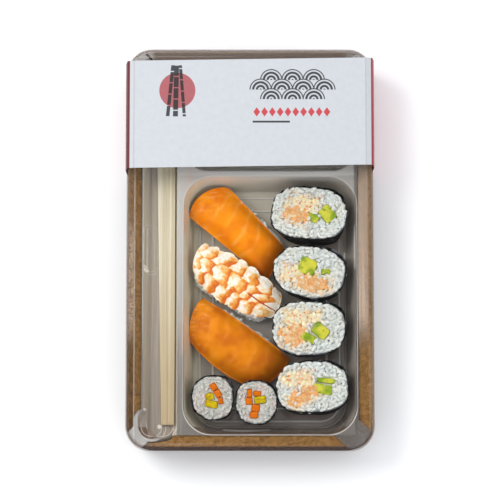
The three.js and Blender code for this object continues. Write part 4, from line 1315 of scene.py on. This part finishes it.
salmon_mix, place = new_finish("flaked_salmon")
flakes = place.grain(1.2, detail=4, rough=0.65)
pink = layered(
    flakes.step(0.32, 0.68).blend((228, 148, 80), (243, 186, 128)),
    (place.grain(3.4, detail=3).step(0.48, 0.66) * 0.7, 247, 222, 184),
)
moist(
    place, 0.35, 1.5, (1.0, 0.5, 0.3),
    Base_Color=pink,
    Roughness=0.45,
    Specular_IOR_Level=0.25,
    Normal=flakes.bump(0.12),
)

crab_mix, place = new_finish("soft_crab_mix")
flakes = place.grain(1.3, detail=4, rough=0.65)
cream = layered(
    flakes.step(0.3, 0.72).blend((240, 216, 158), (250, 240, 212)),
    (place.grain(2.6, detail=3).step(0.54, 0.7) * 0.5, 242, 190, 116),
)
moist(
    place, 0.35, 1.5, (1.0, 0.8, 0.5),
    Base_Color=cream,
    Roughness=0.45,
    Specular_IOR_Level=0.25,
    Normal=flakes.bump(0.12),
)

red_fleck, place = new_finish("red_crab_fleck")
deep = place.grain(0.9, detail=3).step(0.3, 0.7)
red = deep.blend((226, 96, 10), (242, 146, 44))
coat(place, Base_Color=red, Roughness=0.45, Specular_IOR_Level=0.25)

# Each kind of filling: its slot and its finishes.
FILL_FINISH = {
    "avocado": ("avocado", avocado),
    "carrot": ("carrot", carrot),
    "radish": ("pickled_radish", radish),
    "salmon": ("salmon_filling", salmon_mix),
    "crab": ("crab_filling", crab_mix, red_fleck),
}


def soft_fill(kind, fill, roll, draw):
    """A soft mix: a lumpy body through the roll, with flakes heaped on its cut face."""
    outline = partial(fill_outline, fill, True, roll["seed"])
    batches = [solid_prism(outline, FILL_POINTS, 0, roll["tall"] - 0.9, 0, dome=0.5)]
    at_x, at_y, wide, high, turn = fill
    density, small, large = FLAKES[kind]
    spin = Matrix.Rotation(math.radians(turn), 2)

    def anywhere(spread):
        angle = draw.uniform(0, math.tau)
        away = math.sqrt(draw.random()) * spread / 2
        local = spin @ Vector((away * wide * math.cos(angle), away * high * math.sin(angle)))
        return at_x + local.x, at_y + local.y

    for i in range(int(wide * high * density)):
        if i % BATCH == 0:
            heap = bmesh.new()
            batches.append(heap)
        spot = Vector((*anywhere(1.15), roll["tall"] + draw.uniform(-0.55, -0.2)))
        sizes = [draw.uniform(small, large), draw.uniform(small, large) * 0.8, draw.uniform(1.1, 1.7)]
        verts = lump(heap, spot, draw.uniform(0, math.pi), draw.uniform(-0.25, 0.25), sizes)
        for v in verts:
            v.co += 0.35 * noise.noise_vector(v.co * 0.5)
    if kind == "crab":
        for i in range(int(wide * high * FLECK_SHARE)):
            spot = Vector((*anywhere(0.95), roll["tall"] + draw.uniform(0.2, 0.5)))
            sizes = [draw.uniform(0.6, 1.7), draw.uniform(0.5, 0.9), draw.uniform(0.5, 0.8)]
            lump(heap, spot, draw.uniform(0, math.pi), 0, sizes, material=1)
    return joined(batches)


def cut_fill(fill, roll, draw):
    """A strip cut square from firm flesh, standing a little proud of the cut face or sunk in it."""
    outline = partial(fill_outline, fill, False, roll["seed"])
    proud = draw.uniform(-0.5, 0.3) if roll["fine"] < 1 else draw.uniform(0, 0.5)
    bm = solid_prism(outline, STRIP_POINTS, 0, roll["tall"] - 0.1 + proud, 0.2, dome=0.25)
    tilt_x, tilt_y = draw.uniform(-0.05, 0.05), draw.uniform(-0.05, 0.05)
    for v in bm.verts:
        if v.co.z > roll["tall"] / 2:
            v.co.z += tilt_x * (v.co.x - fill[0]) + tilt_y * (v.co.y - fill[1])
    return bm


crumb_batches = []
for name, roll in ROLLS.items():
    stand = roll_stand(roll)
    draw = random.Random(roll["seed"])
    wrap = made(seaweed_wrap(roll), f"{name}_seaweed_sheet", seaweed, smooth=40, stand=stand)
    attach(wrap, "root")
    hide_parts(f"{name}_seaweed")

    outline = partial(roll_outline, roll)
    core_top = roll["tall"] - roll["sunk"]
    core = made(solid_prism(outline, CORE_POINTS, 0, core_top, -SEAWEED - 0.6, dome=0.5), "core")
    for filling, fill in roll["fills"].items():
        soft = filling in FLAKES
        outline = partial(fill_outline, fill, soft, roll["seed"])
        tool = solid_prism(outline, FILL_POINTS, -1, roll["tall"] + 3, 0.1 if soft else 0.45)
        work(core, "DIFFERENCE", made(tool, "filling_room"))
    whole = joined([loosened(core), rice_face(roll, draw)])
    surface = BVHTree.FromBMesh(whole)
    stain = whole.verts.layers.float.new("stain")
    soft_fills = [fill for filling, fill in roll["fills"].items() if filling in FLAKES]
    for v in whole.verts:
        distances = [max(fill_axes(fill, v.co.x, v.co.y)) for fill in soft_fills]
        v[stain] = 1 - max(0.0, min(1.0, min(distances, default=STAIN_REACH) / STAIN_REACH))
    finish = rosy_rice if roll["fine"] < 1 else cooked_rice
    rice = made(whole, f"{name}_rice_grains", finish, smooth=80, stand=stand)
    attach(rice, "root")
    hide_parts(f"{name}_rice")

    for filling, fill in roll["fills"].items():
        kind = filling.split("_")[0]
        soft = kind in FLAKES
        slot_name, *finishes = FILL_FINISH[kind]
        bm = soft_fill(kind, fill, roll, draw) if soft else cut_fill(fill, roll, draw)
        angle = 85 if soft else 45
        piece = made(bm, f"{name}_{filling}_filling", *finishes, smooth=angle, stand=stand)
        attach(piece, "root")
        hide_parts(f"{name}_{filling}")

    # Crumbs of seaweed that the knife left on the rice.
    crumbs = bmesh.new()
    crumb_batches.append(crumbs)
    for i in range(int(roll["size"][0] * roll["size"][1] / CRUMB_AREA)):
        x = draw.uniform(-0.46, 0.46) * roll["size"][0]
        y = draw.uniform(-0.46, 0.46) * roll["size"][1]
        rests_on = surface.ray_cast(Vector((x, y, ABOVE_ALL)), Vector((0, 0, -1)))[0]
        if not inside_face(roll, x, y, 1.6) or not rests_on or rests_on.z < roll["tall"] - 1:
            continue
        spot = stand @ rests_on
        sizes = [draw.uniform(0.5, 1.2), draw.uniform(0.4, 0.7), 0.5]
        lump(crumbs, spot, draw.uniform(0, math.pi), 0, sizes)

crumbs = made(joined(crumb_batches), "seaweed_crumbs", seaweed, smooth=0)
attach(crumbs, "root")

# ---------------------------------------------------------------- nigiri
# Pressed fingers of rice, each with a slice draped over it: two of raw salmon cut on the slant, and
# one cooked prawn that is split and opened flat.
EDGE_ROUND = 14
FINGER_LEVELS = 7
FIRST_LEVEL = 1.6
LEVEL_RISE = 2.15
SIDE_PITCH = 2.6

# Each slice's corners are near start, far start, far end and near end. Its bows are those of its
# start, end, far and near edges, its drops those of its sides, start and end, and its rice block has
# a width, a height, an inset at both ends and a shift across.
NIGIRI = {
    "salmon_nigiri_1": {
        "slice": "salmon", "seed": 21, "thick": 3.6,
        "corners": ((-35, 20.6), (-12.6, 38), (20.4, 2.6), (10, -16)),
        "bows": (5.4, 0, 0, 0), "rounding": 0.02,
        "top": 23.5, "drops": (8, 6, 11), "rice": (20, 19, 4, 3.8),
    },
    "prawn_nigiri": {
        "slice": "prawn", "seed": 22, "thick": 2.4,
        "corners": ((-32.4, -12), (-27.3, 4), (17.8, -26.2), (13, -37.4)),
        "bows": (2, 1, 3.8, 6.2), "rounding": 0.03,
        "top": 24, "drops": (5.5, 4, 7), "rice": (19, 20, 3, -4),
    },
    "salmon_nigiri_2": {
        "slice": "salmon", "seed": 23, "thick": 3.6,
        "corners": ((-34.2, -51), (-26.6, -25.4), (23, -60), (4, -78)),
        "bows": (3.4, 2.4, 0.6, 3.4), "rounding": 0.01,
        "top": 21.5, "drops": (8.5, 6, 11), "rice": (21, 18, 5, 4.4),
    },
}


def slice_axes(topping):
    """The middles of a slice's two ends, and the directions along it and across it."""
    start_near, start_far, end_far, end_near = (Vector(corner) for corner in topping["corners"])
    start = (start_near + start_far) / 2
    end = (end_near + end_far) / 2
    along = (end - start).normalized()
    return start, end, along, Vector((-along.y, along.x))


def slice_plan(topping, u, v, jut=0.0):
    """A place on a slice's plan, with u from its start to its end and v from near to far."""
    start_near, start_far, end_far, end_near = (Vector(corner) for corner in topping["corners"])
    start, end, along, across = slice_axes(topping)
    start_bow, end_bow, far_bow, near_bow = topping["bows"]
    point = start_near.lerp(end_near, u).lerp(start_far.lerp(end_far, u), v)
    point += across * (4 * u * (1 - u) * (far_bow * v - near_bow * (1 - v)) + jut)
    point += along * (4 * v * (1 - v) * (end_bow * u - start_bow * (1 - u)))
    corner = (abs(2 * u - 1) * abs(2 * v - 1)) ** 6
    return point.lerp((start + end) / 2, topping["rounding"] * corner)


def slice_height(topping, u, v):
    """How high a slice's top lies: it falls off to its sides and its ends."""
    side, start, end = topping["drops"]
    fall = start * max(0, 1 - 2 * u) ** 3 + end * max(0, 2 * u - 1) ** 3
    return topping["top"] - math.hypot(side * abs(2 * v - 1) ** 2.6, fall)


def salmon_relief(u, v, seed):
    """Low waves across the slice. Its edge wanders a little."""
    ragged = 0.35 * noise.noise(Vector((u * 6, v * 4, seed)))
    lift = 0.35 * math.sin(9 * u + 4 * v) + 0.25 * noise.noise(Vector((u * 14, v * 5, seed)))
    return lift, ragged * (2 * v - 1), 0.0


# The prawn's rows of muscle, from far to near: each row's middle and half width across the slice,
# and the shift of its segments along the slice.
PRAWN_ROWS = ((0.9, 0.22, 0.5), (0.5, 0.2, 0.375), (0.13, 0.2, 0.0))
PRAWN_SEGMENTS = 6.25


def prawn_relief(u, v, seed):
    """Three rows of overlapping plates with seams between, and how orange each place is."""
    wobble = 0.14 * noise.noise(Vector((u * 9, v * 5, seed)))
    bend = 0.35 * noise.noise(Vector((u * 3, v * 2.5, seed + 5)))
    bend += 0.25 * noise.noise(Vector((u * 13, v * 7, seed + 9)))
    best, gold = 0.0, 0.9
    for row, (middle, half, shift) in enumerate(PRAWN_ROWS):
        signed = (v + wobble - middle) / half
        if abs(signed) >= 1:
            continue
        phase = u * PRAWN_SEGMENTS + shift - 0.22 * signed + bend
        along = phase % 1
        own = noise.noise(Vector((phase // 1 * 7.3, row * 3.1, seed)))
        puff = math.sin(math.pi * along ** 0.65) * math.cos(math.pi / 2 * signed)
        puff = max(0.0, puff) ** 0.36 * (1 + 0.15 * own)
        if puff > best:
            best = puff
            gold = (1.05 + 0.8 * own) * max(0.0, along - 0.36) / 0.64 + 0.4 * max(0.0, signed - 0.2)
    fluff = noise.noise(Vector((u * 34, v * 16, seed)))
    white_end = max(0.0, 1 - u / 0.15)
    lift = 1.0 * best - 0.5 + 0.4 * fluff * (1 + 3 * white_end)
    pale = max(white_end, min(1.0, max(0.0, (v - 0.86) * 9)), min(1.0, max(0.0, (u - 0.86) * 9)))
    tint = 0.1 + gold + 0.3 * max(0.0, 0.75 - best) + 0.25 * fluff
    far_tip = math.sin(math.pi * ((u * PRAWN_SEGMENTS + 0.5 + bend) % 1)) ** 0.5
    near_tip = math.sin(math.pi * ((u * PRAWN_SEGMENTS + bend) % 1)) ** 0.5
    jut = 2.0 * far_tip * max(0.0, v - 0.8) / 0.2 - 1.2 * near_tip * max(0.0, 0.2 - v) / 0.2
    return lift, jut + 0.45 * fluff * (2 * v - 1), tint * (1 - 0.75 * pale)


def slice_mesh(topping, relief, steps_u, steps_v):
    """The slice: a closed sheet, rounded all round its edge, with its own u and v on it."""
    bm = bmesh.new()
    bmesh.ops.create_grid(bm, x_segments=steps_u, y_segments=steps_v, size=1)
    bmesh.ops.extrude_face_region(bm, geom=bm.faces[:])
    top_verts = {v for face in bm.faces[:steps_u * steps_v] for v in face.verts}
    chart = bm.loops.layers.uv.new("slice")
    orange = bm.verts.layers.float.new("orange")
    shape = {}
    for v in bm.verts:
        # The grid is closer near the slice's edges.
        shape[v] = [0.5 + 0.5 * (0.65 * c + 0.35 * math.sin(c * math.pi / 2)) for c in v.co.xy]
    for face in bm.faces:
        for loop in face.loops:
            loop[chart].uv = shape[loop.vert]
    for v in bm.verts:
        u, w = shape[v]
        lift, jut, tint = relief(u, w, topping["seed"])
        edge = (1 - abs(2 * u - 1) ** EDGE_ROUND) * (1 - abs(2 * w - 1) ** EDGE_ROUND)
        edge = math.sqrt(max(edge, 0.0))
        thick = topping["thick"] * (1 - 0.3 * abs(2 * w - 1))
        middle = slice_height(topping, u, w) - thick / 2
        x, y = slice_plan(topping, u, w, jut)
        z = middle + (thick / 2 + lift) * edge if v in top_verts else middle - thick / 2 * edge
        v.co = (x, y, z)
        v[orange] = tint
    bmesh.ops.remove_doubles(bm, verts=bm.verts, dist=0.0005)
    bmesh.ops.recalc_face_normals(bm, faces=bm.faces)
    return bm


def slice_room(topping):
    """All the space over a slice's underside, and a little past its edges."""
    bm = bmesh.new()
    bmesh.ops.create_grid(bm, x_segments=40, y_segments=24, size=1)
    grown = bmesh.ops.extrude_face_region(bm, geom=bm.faces[:])["geom"]
    upper = {item for item in grown if isinstance(item, bmesh.types.BMVert)}
    for v in bm.verts:
        u, w = 0.5 + 0.54 * v.co.x, 0.5 + 0.56 * v.co.y
        x, y = slice_plan(topping, u, w)
        inner_u, inner_w = min(max(u, 0.02), 0.98), min(max(w, 0.02), 0.98)
        under = slice_height(topping, inner_u, inner_w) - topping["thick"] - 0.3
        v.co = (x, y, ABOVE_ALL if v in upper else under)
    bmesh.ops.recalc_face_normals(bm, faces=bm.faces)
    return made(bm, "slice_room")


def in_roll(spot, margin):
    """Whether a place lies inside one of the rolls."""
    for roll in ROLLS.values():
        local = roll_stand(roll).inverted() @ spot
        if -1 < local.z < roll["tall"] + 1 and inside_face(roll, local.x, local.y, -margin):
            return True
    return False


def roll_rooms():
    """The room that the standing rolls take, with a gap round them."""
    parts = []
    for roll in ROLLS.values():
        outline = partial(roll_outline, roll)
        room = solid_prism(outline, CORE_POINTS, -2, roll["tall"] + 2, SEAWEED + 0.25)
        bmesh.ops.transform(room, matrix=roll_stand(roll), verts=room.verts)
        parts.append(room)
    return made(joined(parts), "roll_rooms")


def rice_finger(topping, draw, cover):
    """The pressed block under a slice, with grains on its sides up to the slice."""
    start, end, along, across = slice_axes(topping)
    width, height, inset, shift = topping["rice"]
    length = (end - start).length - 2 * inset
    rings = (
        (length / 2 - 3, width / 2 - 2.5, 5.5, 0.3),
        (length / 2 - 1.5, width / 2 - 1.3, 6.5, 3.5),
        (length / 2 - 1, width / 2 - 1, 6.5, 8),
        (length / 2 - 2, width / 2 - 1.8, 6, 12),
        (length / 2 - 5, width / 2 - 4, 5, height - 1),
    )
    middle = (start + end) / 2 + across * shift
    heading = math.atan2(along.y, along.x)
    stand = Matrix.Translation((middle.x, middle.y, FLOOR_REST)) @ Matrix.Rotation(heading, 4, "Z")
    block = made(loft(rings), "block", stand=stand)
    work(block, "DIFFERENCE", roll_rooms(), slice_room(topping))

    batches = [loosened(block)]
    count = int(2 * (length + width) / SIDE_PITCH)
    for level in range(FINGER_LEVELS):
        grains = bmesh.new()
        batches.append(grains)
        z = FIRST_LEVEL + LEVEL_RISE * level
        draw_in = max(0.0, z - 8) * 0.12
        for i in range(count):
            angle = (i + draw.uniform(-0.4, 0.4)) / count * math.tau
            x = (length / 2 - 1.5 - draw_in) * bent(math.cos(angle), 4)
            y = (width / 2 - 1.3 - draw_in) * bent(math.sin(angle), 4)
            spot = stand @ Vector((x, y, z + draw.uniform(-0.7, 0.7)))
            turn = heading + draw.uniform(0, math.pi)
            pitch = draw.uniform(-0.8, 0.8)
            lie = Matrix.Rotation(turn, 3, "Z") @ Matrix.Rotation(pitch, 3, "Y")
            ends = [spot + lie @ Vector((reach, 0, 0)) for reach in (-2.6, -1.3, 0, 1.3, 2.6)]
            if any(in_roll(end_spot, 1.3) for end_spot in ends):
                continue
            hits = [cover.ray_cast(Vector((e.x, e.y, 0)), Vector((0, 0, 1)))[0] for e in ends]
            if any(hit and hit.z < e.z + 1.1 for hit, e in zip(hits, ends)):
                continue
            grain_at(grains, draw, spot, turn, pitch)
    return joined(batches)


def salmon_finish(name, lines_shown, pale_start, deep, bright):
    """Raw salmon: pale fat lines across it, fine fibres, pale streaks at its start as a painted
    highlight, and painted shade towards its near side and its end.
    """
    finish, place = new_finish(name)
    u, v = place.node("ShaderNodeUVMap", {"uv_map": "slice"}).axes()[:2]
    warp = place.grain(8, detail=2) - 0.5
    lines = (u + (v - 0.5) * 0.1 + warp * 0.12 + (v - 0.5) ** 2 * 0.45) * 6.3
    line = lines.off_middle().step(0.2, 0.03)
    fade = place.grain(10).step(0.32, 0.6)
    clouds = place.grain(9, detail=3, rough=0.6)
    fibres = place.moved(turn=(0, 0, 0.7), stretch=(0.25, 1, 1)).grain(0.9, detail=3, rough=0.6)
    streaks = place.moved(turn=(0, 0, -0.9), stretch=(0.3, 1, 1)).grain(1.6, detail=4, rough=0.6)
    # Painted highlight: pale streaks at the slice's start. Painted shade: darker towards the near side
    # of its end half, and darker still at its end.
    start = u.step(pale_start, pale_start * 0.2)
    rim = 1 - v.step(0.0, 0.05) * v.step(1.0, 0.95)
    shade = (1 - u.step(1.0, 0.55)) * v.step(0.6, 0.1)
    flesh = layered(
        clouds.step(0.3, 0.7).blend(deep, bright),
        (fibres.step(0.5, 0.75) * 0.25, 248, 160, 20),
        (line * fade * lines_shown, 250, 172, 74),
        (streaks.step(0.5, 0.68) * start * 0.4, 252, 190, 116),
        (rim * 0.15, 250, 168, 74),
        (shade * 0.75, 194, 86, 0),
        (u.step(0.82, 1.0) * 0.7, 124, 56, 0),
    )
    moist(
        place, 0.08, 2, (1.0, 0.4, 0.1),
        Base_Color=flesh,
        Roughness=0.36 + 0.2 * fibres,
        Specular_IOR_Level=0.1,
        Normal=(fibres * 0.35 + line * 0.3 + clouds * 0.6).bump(0.3),
    )
    return finish


cooked_prawn, place = new_finish("cooked_prawn")
tint = place.node("ShaderNodeAttribute", {"attribute_name": "orange"}, output="Fac")
u, v = place.node("ShaderNodeUVMap", {"uv_map": "slice"}).axes()[:2]
cloud = place.grain(1.8, detail=4, rough=0.6)
orange = tint + (cloud - 0.5) * 0.9 + (place.grain(6) - 0.5) * 0.4
stops = [
    (0.0, paint(250, 247, 240)), (0.2, paint(248, 230, 196)), (0.45, paint(242, 186, 102)),
    (0.7, paint(232, 146, 44)), (1.0, paint(214, 104, 20)),
]
flesh = place.node("ShaderNodeValToRGB", {"stops": stops}, {"Fac": orange})
vein = abs(v - 0.44 + (u - 0.68) * 0.35 + (cloud - 0.5) * 0.02).step(0.028, 0.012)
moist(
    place, 0.06, 1.5, (1.0, 0.7, 0.45),
    Base_Color=layered(flesh, (vein * u.step(0.62, 0.68), 178, 44, 8)),
    Roughness=0.35 + 0.2 * cloud,
    Specular_IOR_Level=0.35,
    Normal=cloud.bump(0.3),
)

# How each slice is made: its relief, its finish, its slot, and the steps of its mesh.
SLICES = {
    "salmon_nigiri_1": (
        salmon_relief,
        salmon_finish("lined_raw_salmon", 0.6, 0.35, (232, 119, 0), (249, 152, 0)),
        "raw_salmon", 90, 48,
    ),
    "prawn_nigiri": (prawn_relief, cooked_prawn, "cooked_prawn", 180, 96),
    "salmon_nigiri_2": (
        salmon_relief,
        salmon_finish("smooth_raw_salmon", 0.18, 0.3, (202, 103, 0), (232, 139, 0)),
        "raw_salmon", 90, 48,
    ),
}

for name, topping in NIGIRI.items():
    relief, finish, slot_name, steps_u, steps_v = SLICES[name]
    draw = random.Random(topping["seed"])
    bm = slice_mesh(topping, relief, steps_u, steps_v)
    cover = BVHTree.FromBMesh(bm)
    draped = made(bm, f"{name}_{topping['slice']}_slice", finish, smooth=60)
    work(draped, "DIFFERENCE", roll_rooms())
    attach(draped, "root")
    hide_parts(f"{name}_{topping['slice']}")

    finger = made(rice_finger(topping, draw, cover), f"{name}_rice_grains", cooked_rice, smooth=80)
    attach(finger, "root")
    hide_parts(f"{name}_rice")

# ---------------------------------------------------------------- size and finish
sizes = {"cad": cad_box, "visual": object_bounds()}
